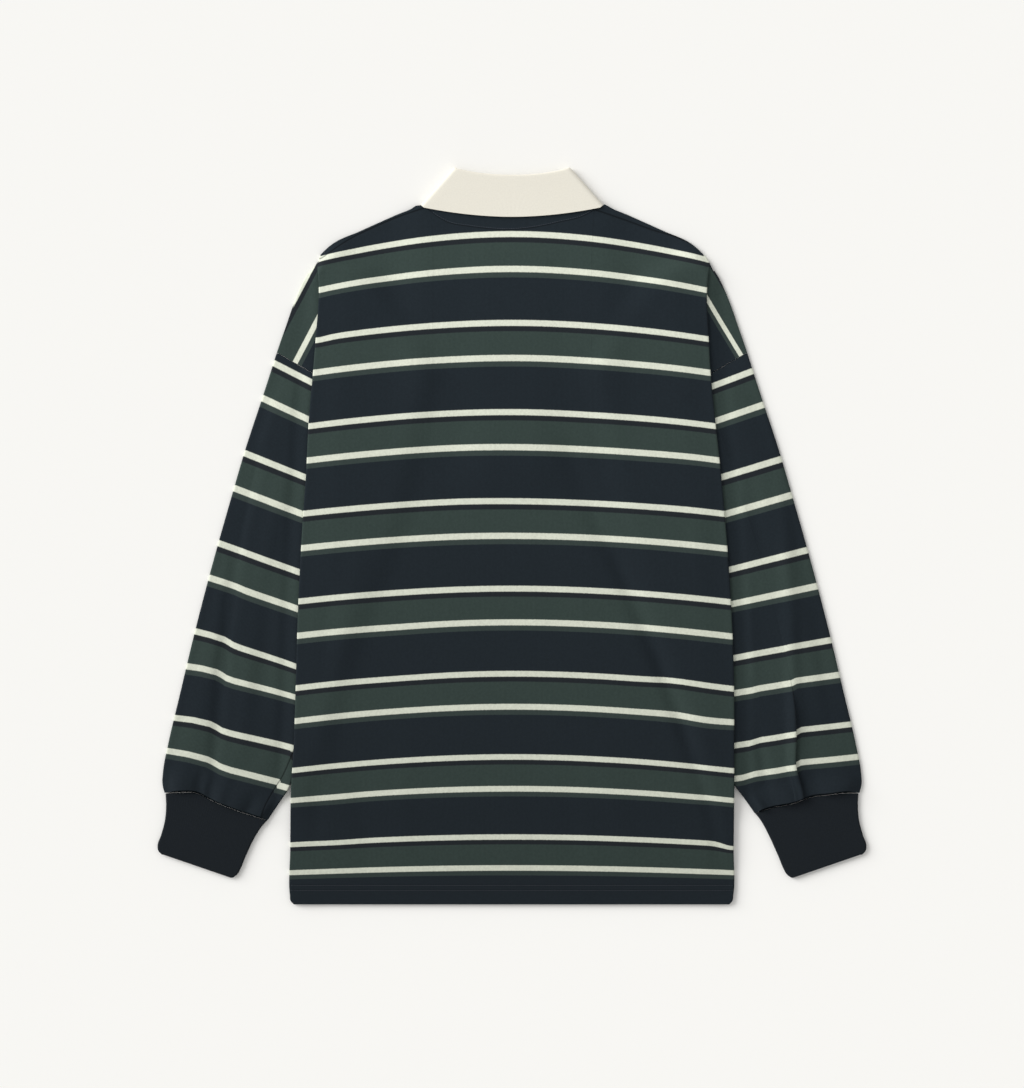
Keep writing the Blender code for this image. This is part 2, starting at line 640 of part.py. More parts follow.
panel("back", 1, back_neck, jersey)
panel("front", -1, front_neck, jersey, slot_rows=SLOT_ROWS)
sleeve("sleeve_left", -1, sleeve_jersey)
sleeve("sleeve_right", 1, sleeve_jersey)
cuff("cuff_left", -1, rib)
cuff("cuff_right", 1, rib)
collar("collar", collar_knit)
slot_end = LOWER_ROWS[0]
placket_strip("placket_upper", PLACKET_HALF - SEAM, slot_end + SEAM, 0.0, placket_cloth)
placket_strip("placket_lower", PLACKET_HALF - 1.5, slot_end + 3.0, PITCH, placket_cloth)
for n in range(BUTTON_COUNT):
    button(f"button_{n + 1}", BUTTON_FIRST_Y - n * BUTTON_STEP_Y, button_finish)
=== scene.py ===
import math
import bmesh
import bpy
import numpy as np
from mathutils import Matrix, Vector
from mathutils.bvhtree import BVHTree


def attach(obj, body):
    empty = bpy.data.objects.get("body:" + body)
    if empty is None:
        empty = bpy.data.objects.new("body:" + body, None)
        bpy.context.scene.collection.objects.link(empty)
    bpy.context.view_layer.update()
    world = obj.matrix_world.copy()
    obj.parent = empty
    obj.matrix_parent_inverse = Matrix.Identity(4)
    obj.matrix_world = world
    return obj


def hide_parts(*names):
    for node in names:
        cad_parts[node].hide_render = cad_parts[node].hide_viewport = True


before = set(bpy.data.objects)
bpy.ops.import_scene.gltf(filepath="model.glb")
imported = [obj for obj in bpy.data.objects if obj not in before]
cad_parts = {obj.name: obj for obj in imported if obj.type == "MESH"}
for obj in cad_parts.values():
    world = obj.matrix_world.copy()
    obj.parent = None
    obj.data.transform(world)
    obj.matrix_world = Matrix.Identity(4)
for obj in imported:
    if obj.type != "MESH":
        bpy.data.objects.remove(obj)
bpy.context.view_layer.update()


# Back and front panels
# Two pieces of heavy cotton jersey, each cut with its drop shoulders and striped across. A deep
# pleat at each side takes in the cloth under the arm, and its fold is the body's straight edge.
MM = 0.001
WALL = 1.2
SEAM = 0.3
PITCH = 1.6
HEM_Y = -387.5
APEX_Y = 286.0
ARMHOLE_Y = 169.0
ARMHOLE_OUT_Y = 191.0
UNDERARM = (103.0, 109.0)
GUSSET_SHIFT = 57.0
NECK_HALF = 92.0
NECK_Y = 341.2
NECK_PEAK = (97.0, 345.6)
BACK_NECK_Y = 338.0
SLOPE_RUN = 15.0
SLEEVE_OUT_Y = -275.0
PLACKET_HALF = 15.5
PLACKET_LIFT = 2.1
UNDER_STRIP_ROOM = 0.9
COLLAR_LIFT = 2.5
RIB_WALL = 1.8
RIB_PITCH = 2.2
MIDDLE_Y = (HEM_Y + 386.4) / 2

REPEAT_A = 0.0335           # half the off-white line, as a share of one repeat of the stripes
THIN_NAVY = 0.0927
GREEN_END = 0.358
WHITE_B_END = 0.428
THIN_GREEN = 0.489
A_TO_B = 0.393

NAVY = (0.0122, 0.0180, 0.0232)
INK = (0.0150, 0.0185, 0.0220)
GREEN = (0.0335, 0.0505, 0.0450)
PALE_GREEN = (0.0345, 0.0485, 0.0450)
OFF_WHITE = (0.665, 0.69, 0.58)
CREAM = (0.83, 0.795, 0.695)
CUFF_NAVY = (0.0094, 0.0125, 0.0158)


def table(columns, *rows):
    """A short table: its columns by name, with the slopes that a smooth curve needs."""
    made = dict(zip(columns.split(), np.array(rows, float).T))
    key = columns.split()[0]
    for name in columns.split()[1:]:
        made[name + "_slope"] = np.gradient(made[name], made[key])
    return made


def smooth(rows, key, column, at):
    xs, ys, slopes = rows[key], rows[column], rows[column + "_slope"]
    i = int(np.clip(np.searchsorted(xs, at) - 1, 0, len(xs) - 2))
    step = xs[i + 1] - xs[i]
    t = min(max((at - xs[i]) / step, 0.0), 1.0)
    return (ys[i] * (1 + 2 * t) * (1 - t) ** 2 + slopes[i] * step * t * (1 - t) ** 2
            + ys[i + 1] * t * t * (3 - 2 * t) + slopes[i + 1] * step * t * t * (t - 1))


def ramp(value, start, end):
    t = min(max((value - start) / (end - start), 0.0), 1.0)
    return t * t * (3 - 2 * t)


def lerp(a, b, t):
    return a + (b - a) * t


SIDE = table("y left right",
             (-387.5, 229.0, 228.0), (-384.5, 232.0, 231.0), (-378.0, 233.0, 232.2),
             (-331.0, 232.7, 232.5), (-265.0, 231.6, 233.0), (-224.0, 229.0, 233.0),
             (-160.0, 226.8, 232.8), (-90.0, 224.7, 230.6), (-30.0, 222.0, 227.0),
             (21.0, 219.0, 223.0), (62.0, 216.0, 219.3), (121.0, 213.0, 213.0),
             (173.0, 208.4, 208.0), (206.0, 205.8, 206.2), (258.0, 202.5, 204.5),
             (286.0, 204.0, 207.0))
OUTER = table("y x",
              (-272.0, 364.0), (-262.0, 366.6), (-248.0, 366.2), (-220.0, 361.0),
              (-169.0, 349.0), (-102.0, 333.0), (-35.0, 315.6), (33.0, 296.5),
              (100.0, 276.7), (133.0, 265.7), (167.0, 254.6), (191.0, 247.0),
              (217.0, 238.0), (251.0, 225.8), (268.0, 218.0), (286.0, 207.0))
SHOULDER = table("x y",
                 (92.0, 341.2), NECK_PEAK, (103.0, 342.0), (120.0, 335.0), (139.0, 326.6),
                 (158.0, 318.0), (192.0, 301.0), (207.0, 286.0))
FRONT_NECK = table("x y", (0.0, 258.0), (16.0, 258.0), (40.0, 267.0), (66.0, 291.0),
                   (84.0, 320.0), (92.0, 341.2))
INNER = table("y x",
              (-301.0, 258.0), (-281.4, 244.6), (-264.6, 233.5), (-240.0, 227.0),
              (-180.0, 212.0), (-80.0, 178.0), (20.0, 142.0), (112.0, 108.0))
# Where the first off-white line of each repeat lies down the middle, and how far it droops
# by the side of the body
STRIPES = table("y count droop",
                (-399.0, 8.0, 0.0), (-316.6, 7.0, 6.0), (-232.6, 6.0, 10.5), (-145.4, 5.0, 11.5),
                (-56.2, 4.0, 10.5), (35.2, 3.0, 10.5), (128.6, 2.0, 12.6), (222.1, 1.0, 15.5),
                (315.5, 0.0, 25.0), (409.0, -1.0, 34.0))
# The drop shoulder's second line: two points on it, and its distance from the first line
WING_LINE = {-1: ((203.2, 226.8), (228.2, 179.6), 31.5),
             1: ((205.4, 246.2), (242.6, 184.8), 26.0)}
# Soft folds, each from one place to the next: half width, and height where it is a ridge or
# depth where it is a trough
BACK_FOLDS = table("x0 y0 x1 y1 width height",
                   (58, 92, 84, 20, 12, -1.2), (84, 20, 112, -35, 9, -2.2),
                   (112, -35, 152, -130, 7, -3.0), (152, -130, 181, -208, 6, -3.2),
                   (181, -208, 207, -285, 6, -2.6), (207, -285, 219, -345, 6, -1.6),
                   (134, -45, 172, -135, 8, 0.9), (172, -135, 200, -215, 7, 0.8),
                   (-160, -20, -180, -125, 11, 0.9), (-193, -60, -198, -160, 9, -1.0),
                   (-205, -240, -208, -330, 9, -0.9), (-110, -215, -116, -330, 13, 0.6),
                   (-8, -250, 2, -340, 14, 0.6), (96, -230, 120, -330, 14, 0.6),
                   (-196, 236, -184, 150, 10, 0.4), (198, 232, 186, 150, 10, 0.4),
                   (206, 60, 196, -20, 10, 0.6), (34, -10, 50, -110, 16, -0.5),
                   (-160, -255, -152, -350, 11, -0.6), (60, -265, 64, -350, 11, -0.5))
FRONT_FOLDS = table("x0 y0 x1 y1 width height",
                    (-96, 30, -60, -120, 14, 0.9), (70, 20, 96, -140, 14, 1.0),
                    (-20, -80, 4, -300, 14, 0.8), (-120, -170, -98, -330, 12, 0.9),
                    (44, -220, 56, -356, 12, 0.8), (112, -200, 124, -350, 12, 0.8))
# Where the stripes are drawn out of line: place, reach and how far up
BACK_PULLS = table("x y reach up",
                   (170, -160, 26, 1.4), (205, -205, 26, -2.0), (216, -300, 16, 1.2),
                   (231, -322, 13, -4.6), (-186, -300, 30, -1.2), (-60, 60, 60, 0.8),
                   (96, 150, 50, -0.7), (-120, -120, 50, -0.9), (190, 60, 40, 0.9),
                   (-203, 236, 15, -1.6), (-204, 206, 14, -1.5))


FOLD_COLUMNS = ("x0", "y0", "x1", "y1", "width", "height")


def folds(rows, x, y):
    """Height that the soft folds of a table add at a place."""
    total = 0.0
    for x0, y0, x1, y1, width, height in zip(*(rows[c] for c in FOLD_COLUMNS)):
        run = (x1 - x0) ** 2 + (y1 - y0) ** 2
        t = ((x - x0) * (x1 - x0) + (y - y0) * (y1 - y0)) / run
        if not -0.3 < t < 1.3:
            continue
        away = ((x - x0) * (y1 - y0) - (y - y0) * (x1 - x0)) / math.sqrt(run)
        ends = ramp(t, -0.3, 0.2) * (1 - ramp(t, 0.8, 1.3))
        total += height * ends * math.exp(-(away / width) ** 2)
    return total


def pull(rows, x, y):
    total = 0.0
    for at_x, at_y, reach, up in zip(*(rows[c] for c in "x y reach up".split())):
        total += up * math.exp(-((x - at_x) ** 2 + (y - at_y) ** 2) / reach ** 2)
    return total


def stripe_count(x, y):
    """How many repeats down the body a place is; each starts in the middle of a line."""
    y -= pull(BACK_PULLS, x, y)
    above = y + smooth(STRIPES, "y", "droop", y) * (abs(x) / 196.0) ** 1.9
    above = y + smooth(STRIPES, "y", "droop", above) * (abs(x) / 196.0) ** 1.9
    return smooth(STRIPES, "y", "count", above)


def wing_count(x, y, side):
    (x0, y0), (x1, y1), spacing = WING_LINE[side]
    away = ((x - x0) * (y0 - y1) + (y - y0) * (x1 - x0)) / math.hypot(x1 - x0, y1 - y0)
    return A_TO_B * (1 - away / spacing)


def side_x(y, side):
    return smooth(SIDE, "y", "right" if side > 0 else "left", y)


def outer_x(y):
    return smooth(OUTER, "y", "x", y)


def inner_x(y):
    return smooth(INNER, "y", "x", y)


def collar_zone(x, y):
    return ramp(y, 60, ARMHOLE_Y) * (1 - ramp(abs(x), 90, 132))


def placket_zone(x, y):
    return ramp(y, 20, 78) * (1 - ramp(abs(x), 20, 75))


def front_lift(x, y):
    return max(COLLAR_LIFT * collar_zone(x, y), PLACKET_LIFT * placket_zone(x, y))


def inside_gap(x, y):
    stand = (RIB_PITCH - PITCH) / 2 * collar_zone(x, y)
    strip = UNDER_STRIP_ROOM * placket_zone(x, y) * (1 - ramp(y, 300, 330))
    return max(stand, strip)


def tuck(turn, depth, radius, turn_back, radius_back, steps, steps_back):
    """Path of a fold, as (outward, down, normal angle, share of the way under)."""
    path = []
    for k in range(1, steps + 1):
        a = turn * k / steps
        path.append((radius * math.sin(a), radius * (1 - math.cos(a)), a, 0.0))
    x0, down0 = path[-1][:2]
    for part in (0.5, 1.0):
        path.append((x0 + part * depth * math.cos(turn), down0 + part * depth * math.sin(turn),
                     turn, part))
    x, down = path[-1][:2]
    for k in range(1, steps_back + 1):
        a = turn - turn_back * k / steps_back
        path.append((x + radius_back * (math.sin(turn) - math.sin(a)),
                     down + radius_back * (math.cos(a) - math.cos(turn)), a, 1.0))
    return path


COLUMNS = [0.0, 0.07] + list(np.linspace(0.095, 0.97, 36)) + [0.98, 0.99, 1.0]
ROUND = 6
WING_STEPS = 14
WING_ROWS = list(APEX_Y - (APEX_Y - ARMHOLE_Y) * np.linspace(0, 1, 27))
LOWER_ROWS = list(np.linspace(166.0, 104.0, 12)) + list(np.linspace(99.0, -366.0, 84))
LOWER_ROWS += [-368.5, -370.0, -372.0, -375.0, -378.0, -380.5, -382.5, -384.5, -386.0, -387.5]
SHOULDER_FALL = (0.42, 0.91)
SLOT_END_Y = 104.0
HEM_STITCHES = (-367.6, -372.8)
BODY_LOFT = 1.9         # how far the back stands up, so that troughs can be pressed into it
OVER_PLEAT = 32.0       # width over which a panel rises on to the hidden pleat
HEM_FOLD = 0.5          # extra height of the turned hem
PAINTED_LIGHT_FALL = 0.00048          # painted light and shade: the colour is lighter at the shoulders and darker at the hem, where less light falls
NECK_LINE = table("x y", (-95.0, 350.5), (-86.0, 340.2), (-69.3, 328.8), (-45.0, 323.6),
                  (-27.3, 321.4), (-3.2, 319.8), (17.9, 321.6), (50.0, 328.0), (78.8, 336.4),
                  (86.1, 341.0), (95.0, 350.5))
SHOULDER_LINE = {-1: table("x y", (60.0, 353.0), (89.3, 343.6), (123.4, 332.0), (148.6, 321.0),
                           (168.0, 311.6), (200.0, 290.0)),
                 1: table("x y", (60.0, 351.0), (89.3, 340.4), (123.4, 328.7), (148.6, 319.7),
                          (168.0, 314.0), (200.0, 300.0))}


def side_fold(y, side):
    """The fold at the side of the body at one height."""
    edge = side_x(y, side) - WALL / 2 - PITCH / 2
    if y >= ARMHOLE_Y:
        t = (APEX_Y - y) / (APEX_Y - ARMHOLE_Y)
        turn = math.pi * max(ramp(t, -0.06, 0.16), 0.12)
        line_x = lerp(edge, UNDERARM[0], t)
        depth = 0.6 + (edge - line_x) * ramp(t, 0.10, 0.30)
        drop = PITCH * (1 - math.cos(turn)) + depth * math.sin(turn)
        fold_y = lerp(y, lerp(APEX_Y, UNDERARM[1], t), ramp(t, 0.07, 0.4))
        return dict(edge=edge, turn=turn, depth=depth, back=turn, radius=PITCH / 2,
                    half=PITCH / 2 + drop, lift=drop, y=fold_y)
    shift = GUSSET_SHIFT * ramp(y, 0, ARMHOLE_Y)
    depth = max(edge - inner_x(y - shift) + 5, SEAM)
    depth = lerp(SEAM, depth, ramp(y, -300, -262))
    layers = 2 * ramp(y, -305, SLEEVE_OUT_Y)
    extra = math.pi / 2 * ramp(y, -372, -300)
    radius = (1 + layers) / 2 * PITCH - SEAM / 2
    half = (PITCH / 2 * (1 + math.sin(extra)) + depth * math.cos(extra)
            + radius * math.sin(extra) + SEAM / 2)
    return dict(edge=edge, turn=math.pi / 2 + extra, depth=depth, back=extra, radius=radius,
                half=half, lift=0.0, y=y - shift)


def hem_swell(y):
    """How much higher the turned hem lies, being two layers thick."""
    return HEM_FOLD * (1 - ramp(y, HEM_STITCHES[0], HEM_STITCHES[0] + 3.0))


def half_row(y, side, neck, face):
    """A row of half a panel: x, y, middle height, offset, tilt, its direction, stripe count."""
    fold = side_fold(y, side)
    row = []
    inner = fold["edge"] - fold["depth"]
    for c in COLUMNS:
        x = PLACKET_HALF if c == COLUMNS[1] else c * fold["edge"]
        row_y = y
        if y > ARMHOLE_Y and c < 1:
            row_y = lerp(neck(x), ARMHOLE_Y, (APEX_Y - y) / (APEX_Y - ARMHOLE_Y))
        over = fold["half"] - PITCH / 2
        rise = over * ramp(x, inner - 6 - OVER_PLEAT, inner - 6)
        half = PITCH / 2 + rise + inside_gap(x, row_y)
        middle = WALL / 2 + half + front_lift(x, row_y)
        calm = ramp(row_y, HEM_Y, HEM_Y + 20) * (1 - ramp(x, inner - 60, inner - 25))
        bump = 0.0 if face > 0 else folds(FRONT_FOLDS, side * x, row_y) * calm
        if face > 0:
            edge_calm = ramp(fold["edge"] - x, 0, 12) * (1 - ramp(row_y, 322, 338))
            above = folds(BACK_FOLDS, side * x, row_y) * edge_calm
            loft = BODY_LOFT * ramp(fold["edge"] - x, 2, 36) * (1 - ramp(row_y, 280, 330))
            loft *= ramp(row_y, HEM_Y + 4, HEM_Y + 36)
            loft += (over - rise) * (1 - ramp(row_y, 200, 300))
            bump = max(loft + above, 0.0) + hem_swell(row_y)
        row.append((x, row_y, middle + bump, half, 0.0, (1.0, 0.0),
                    stripe_count(side * x, row_y)))
    middle = WALL / 2 + fold["half"] + (hem_swell(y) if face > 0 else 0.0)
    count = stripe_count(side * fold["edge"], y)
    steps_back = 2 * ROUND if y >= ARMHOLE_Y else ROUND
    for out, down, angle, under in tuck(fold["turn"], fold["depth"], PITCH / 2, fold["back"],
                                        fold["radius"], ROUND, steps_back):
        row.append((fold["edge"] + out, lerp(y, fold["y"], under), middle,
                    fold["half"] - down, angle, (1.0, 0.0), count))
    if y >= ARMHOLE_Y:
        row += wing(y, side, fold, row[-1])
    return row


def wing(y, side, fold, start):
    """The drop shoulder, from the hidden fold out to the shoulder seam at the silhouette."""
    t = (APEX_Y - y) / (APEX_Y - ARMHOLE_Y)
    end_y = lerp(APEX_Y - 9.0, ARMHOLE_OUT_Y, t)
    end_x = outer_x(end_y) - WALL / 2 - PITCH / 2
    cover = side_x(y, side)
    points = []
    for u in np.linspace(0.12, 1.0, WING_STEPS):
        x = lerp(start[0], end_x, u)
        lift = fold["lift"] * (1 - ramp(x - cover, 1, 1 + SLOPE_RUN))
        way = lerp(start[1], end_y, u)
        points.append((x, way, WALL / 2 + PITCH / 2 + lift, PITCH / 2, 0.0, (1.0, 0.0),
                       wing_count(x, way, side)))
    radius = (PITCH - SEAM) / 2
    low = points[-1][2]
    for k in (1, 2, 3, 4):
        a = math.pi / 2 * k / 4
        points.append((end_x + PITCH / 2 * math.sin(a), end_y, low,
                       PITCH / 2 - radius * (1 - math.cos(a)), a, (1.0, 0.0),
                       wing_count(end_x, end_y, side)))
    return points


def shoulder_rounding(first):
    rows = []
    for k in range(4, 0, -1):
        a = math.pi / 2 * k / 4
        row = []
        for x, y, middle, offset, _, _, count in first[:len(COLUMNS)]:
            roll = ramp(x, NECK_HALF - 2, NECK_HALF + 8)
            reach = lerp(0.375 * k, PITCH / 2 * math.sin(a), roll)
            down = roll * (offset - SEAM / 2) * (1 - math.cos(a))
            row.append((x + roll * SHOULDER_FALL[0] * reach, y + SHOULDER_FALL[1] * reach, middle,
                        offset - down, roll * a, SHOULDER_FALL, count))
        rows.append(row)
    return rows


def back_neck(x):
    if x < NECK_HALF:
        return BACK_NECK_Y + (NECK_Y - BACK_NECK_Y) * (x / NECK_HALF) ** 2
    return smooth(SHOULDER, "x", "y", x)


def front_neck(x):
    if x < NECK_HALF:
        return smooth(FRONT_NECK, "x", "y", x)
    return smooth(SHOULDER, "x", "y", x)


def cloth(name, rows, wall, finish, closed=False, labels=("stripe", "across", "along")):
    """A thin closed wall from rows of (point, normal, then a value for each label)."""
    index, points, tilts, extras = {}, [], [], []
    for i, row in enumerate(rows):
        for j, cell in enumerate(row):
            if cell is not None:
                index[i, j] = len(points)
                points.append(cell[0])
                tilts.append(cell[1])
                extras.append(cell[2:])
    points, tilts, extras = np.array(points), np.array(tilts), np.array(extras, float)
    size = len(points)
    count = len(rows[0])
    faces, edges = [], {}
    for i in range(len(rows) - 1):
        for j in range(count if closed else count - 1):
            cell = [(i, j), (i + 1, j), (i + 1, (j + 1) % count), (i, (j + 1) % count)]
            if any(c not in index for c in cell):
                continue
            ids = [index[c] for c in cell]
            faces.append(ids)
            faces.append([size + v for v in reversed(ids)])
            for pair in zip(ids, ids[1:] + ids[:1]):
                if pair[::-1] in edges:
                    del edges[pair[::-1]]
                else:
                    edges[pair] = True
    faces += [[b, a, size + a, size + b] for a, b in edges]
    both = np.vstack([points + tilts * wall / 2, points - tilts * wall / 2])
    both[:, 1] -= MIDDLE_Y
    mesh = bpy.data.meshes.new(name)
    mesh.from_pydata(both * MM, [], faces)
    for column, label in enumerate(labels):
        layer = mesh.attributes.new(label, 'FLOAT', 'POINT')
        layer.data.foreach_set("value", np.tile(extras[:, column], 2))
    bm = bmesh.new()
    bm.from_mesh(mesh)
    loose = [v for v in bm.verts if not v.link_faces]
    bmesh.ops.delete(bm, geom=loose, context='VERTS')
    bmesh.ops.recalc_face_normals(bm, faces=bm.faces)
    bm.to_mesh(mesh)
    bm.free()
    mesh.shade_smooth()
    mesh.set_sharp_from_angle(angle=math.radians(60))
    mesh.materials.append(finish)
    piece = bpy.data.objects.new(name, mesh)
    bpy.context.collection.objects.link(piece)
    return piece


def add_nodes(tree, *wanted):
    return [tree.nodes.new(kind) for kind in wanted]


def attribute(tree, name):
    node = tree.nodes.new("ShaderNodeAttribute")
    node.attribute_name = name
    return node.outputs["Fac"]


def math_node(tree, operation, first, second=0.0):
    node = tree.nodes.new("ShaderNodeMath")
    node.operation = operation
    for socket, value in zip(node.inputs, (first, second)):
        if isinstance(value, (int, float)):
            socket.default_value = value
        else:
            tree.links.new(value, socket)
    return node.outputs[0]


def plain_material(name, colour, roughness):
    finish = bpy.data.materials.new(name)
    finish.use_nodes = True
    shader = finish.node_tree.nodes["Principled BSDF"]
    shader.inputs["Base Color"].default_value = (*colour, 1)
    shader.inputs["Roughness"].default_value = roughness
    return finish, finish.node_tree, shader


def knit_height(tree, wale, course):
    """Relief of a knitted face: slanting half stitches in columns, from the cloth's own threads."""
    across, along = attribute(tree, "across"), attribute(tree, "along")
    column = math_node(tree, 'MULTIPLY', across, math.pi / wale)
    lean = math_node(tree, 'ABSOLUTE', math_node(tree, 'SINE', column))
    slant = math_node(tree, 'MULTIPLY', lean, 1.6)
    row = math_node(tree, 'ADD', math_node(tree, 'MULTIPLY', along, 2 * math.pi / course), slant)
    stitch = math_node(tree, 'SINE', math_node(tree, 'MULTIPLY', row, 0.5))
    stitch = math_node(tree, 'ABSOLUTE', stitch)
    return math_node(tree, 'MULTIPLY', math_node(tree, 'POWER', lean, 0.5), math_node(
        tree, 'ADD', math_node(tree, 'MULTIPLY', stitch, 0.6), 0.4))


def near(tree, distance, reach):
    """One on a line and nothing beyond its reach, from the distance to it."""
    share = math_node(tree, 'DIVIDE', distance, reach)
    return math_node(tree, 'EXPONENT', math_node(tree, 'MULTIPLY', math_node(
        tree, 'MULTIPLY', share, share), -1.0))


def seam_grooves_and_shade(tree):
    """Grooves along the neck facing, the seams and the two rows of the hem, as one mask for their
    dents and for the painted shade in them.
    """
    total = math_node(tree, 'MULTIPLY', near(tree, attribute(tree, "neck"), 0.55), 0.7)
    total = math_node(tree, 'MAXIMUM', total, near(tree, attribute(tree, "seam"), 0.75))
    for height in HEM_STITCHES:
        away = math_node(tree, 'SUBTRACT', attribute(tree, "along"), height)
        total = math_node(tree, 'MAXIMUM', total, math_node(
            tree, 'MULTIPLY', near(tree, away, 0.7), 0.55))
    return total


def striped_jersey(name, sewn):
    finish, tree, shader = plain_material(name, NAVY, 0.88)
    shader.inputs["Specular IOR Level"].default_value = 0.12
    shader.inputs["Sheen Weight"].default_value = 0.02
    shader.inputs["Sheen Roughness"].default_value = 0.5
    noise, colours, tone, hue = add_nodes(tree, "ShaderNodeTexNoise", "ShaderNodeValToRGB",
                                          "ShaderNodeTexNoise", "ShaderNodeHueSaturation")
    coords = tree.nodes.new("ShaderNodeTexCoord")
    tree.links.new(coords.outputs["Object"], noise.inputs["Vector"])
    noise.inputs["Scale"].default_value = 700.0
    noise.inputs["Detail"].default_value = 2.0
    wobble = math_node(tree, 'SUBTRACT', noise.outputs["Fac"], 0.5)
    wobble = math_node(tree, 'MULTIPLY', wobble, 0.007)
    count = math_node(tree, 'FRACT', math_node(tree, 'ADD', attribute(tree, "stripe"), wobble))
    tree.links.new(count, colours.inputs["Fac"])
    bands = [(REPEAT_A, OFF_WHITE, INK), (THIN_NAVY, INK, GREEN), (GREEN_END, GREEN, OFF_WHITE),
             (WHITE_B_END, OFF_WHITE, PALE_GREEN), (THIN_GREEN, PALE_GREEN, NAVY),
             (1 - REPEAT_A, NAVY, OFF_WHITE)]
    stops = colours.color_ramp.elements
    stops[0].position, stops[0].color = 0.0, (*OFF_WHITE, 1)
    stops[1].position, stops[1].color = 1.0, (*OFF_WHITE, 1)
    for place, before, after in bands:
        for shift, colour in ((-0.003, before), (0.003, after)):
            stop = stops.new(place + shift)
            stop.color = (*colour, 1)
    tree.links.new(coords.outputs["Object"], tone.inputs["Vector"])
    tone.inputs["Scale"].default_value = 420.0
    tone.inputs["Detail"].default_value = 3.0
    value = math_node(tree, 'ADD', math_node(tree, 'MULTIPLY', tone.outputs["Fac"], 0.36), 0.82)
    # painted light: the colour is brightened towards the shoulders and darkened towards the hem
    painted_light = math_node(tree, 'ADD', math_node(tree, 'MULTIPLY', attribute(tree, "along"), PAINTED_LIGHT_FALL), 1.0)
    value = math_node(tree, 'MULTIPLY', value, painted_light)
    tree.links.new(colours.outputs["Color"], hue.inputs["Color"])
    tree.links.new(hue.outputs["Color"], shader.inputs["Base Color"])
    bump, deep = add_nodes(tree, "ShaderNodeBump", "ShaderNodeBump")
    bump.inputs["Strength"].default_value = 0.5
    bump.inputs["Distance"].default_value = 0.0003
    tree.links.new(knit_height(tree, 1.3, 1.1), bump.inputs["Height"])
    groove_and_shade = seam_grooves_and_shade(tree) if sewn else near(tree, attribute(tree, "seam"), 0.8)
    # painted shade: the colour is darkened along the grooves of the neck facing, the seams and the
    # hem rows
    painted_groove_shade = math_node(tree, 'SUBTRACT', 1.0, math_node(tree, 'MULTIPLY', groove_and_shade, 0.62))
    tree.links.new(math_node(tree, 'MULTIPLY', value, painted_groove_shade), hue.inputs["Value"])
    deep.inputs["Strength"].default_value = 0.8
    deep.inputs["Distance"].default_value = 0.0005
    tree.links.new(math_node(tree, 'SUBTRACT', 1.0, groove_and_shade), deep.inputs["Height"])
    tree.links.new(bump.outputs["Normal"], deep.inputs["Normal"])
    tree.links.new(deep.outputs["Normal"], shader.inputs["Normal"])
    return finish


jersey = striped_jersey("striped_jersey", True)
sleeve_jersey = striped_jersey("striped_jersey_sleeve", False)


PANEL_LABELS = ("stripe", "across", "along", "neck", "seam")


def panel(name, face, neck, slotted):
    halves = {}
    for side in (-1, 1):
        rows = [half_row(y, side, neck, face) for y in WING_ROWS + LOWER_ROWS]
        halves[side] = shoulder_rounding(rows[0]) + rows
    heights = [APEX_Y] * 4 + WING_ROWS + LOWER_ROWS
    width = max(len(row) for row in halves[1])
    full = []
    for i, height in enumerate(heights):
        line = []
        for side in (-1, 1):
            cells = []
            run = 0.0
            previous = None
            for x, y, middle, offset, angle, (along, up), count in halves[side][i]:
                if previous:
                    run += math.hypot(x - previous[0], offset - previous[1])
                previous = (x, offset)
                tilt = math.sin(angle)
                neck_seam = y - smooth(NECK_LINE, "x", "y", side * x)
                top_seam = y - smooth(SHOULDER_LINE[side], "x", "y", x)
                cells.append(((side * x, y, middle + face * offset),
                              (side * along * tilt, up * tilt, face * math.cos(angle)),
                              count, side * run, y, 0.9 * neck_seam,
                              0.9 * top_seam if face > 0 and x > 84 else 90.0))
            cells += [None] * (width - len(cells))
            if slotted and height >= SLOT_END_Y + 0.5:
                cells[0] = None
            line = cells[::-1] if side < 0 else line + cells[1:]
        full.append(line)
    return cloth(name, full, WALL, jersey, labels=PANEL_LABELS)


back = panel("back_cloth", 1, back_neck, False)
front = panel("front_cloth", -1, front_neck, True)
for piece, node in ((back, "back"), (front, "front")):
    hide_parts(node)
    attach(piece, "root")


# Sleeves
# Each is one piece of the same striped jersey, sewn into a tube along the under arm, set to
# the drop shoulder at the armhole and gathered into the cuff. They lie pressed flat.
SLEEVE = table("s outer slant",
               (0.0, 190.6, 79.0), (0.05, 167.0, 71.0), (0.15, 120.0, 63.0), (0.26, 70.0, 57.0),
               (0.37, 20.0, 52.0), (0.49, -35.0, 48.0), (0.61, -90.0, 45.0), (0.73, -145.0, 40.0),
               (0.83, -190.0, 36.0), (0.88, -215.0, 34.5), (0.925, -236.0, 33.0),
               (0.96, -252.0, 31.0), (0.982, -262.0, 29.5), (1.0, -270.4, 28.8))
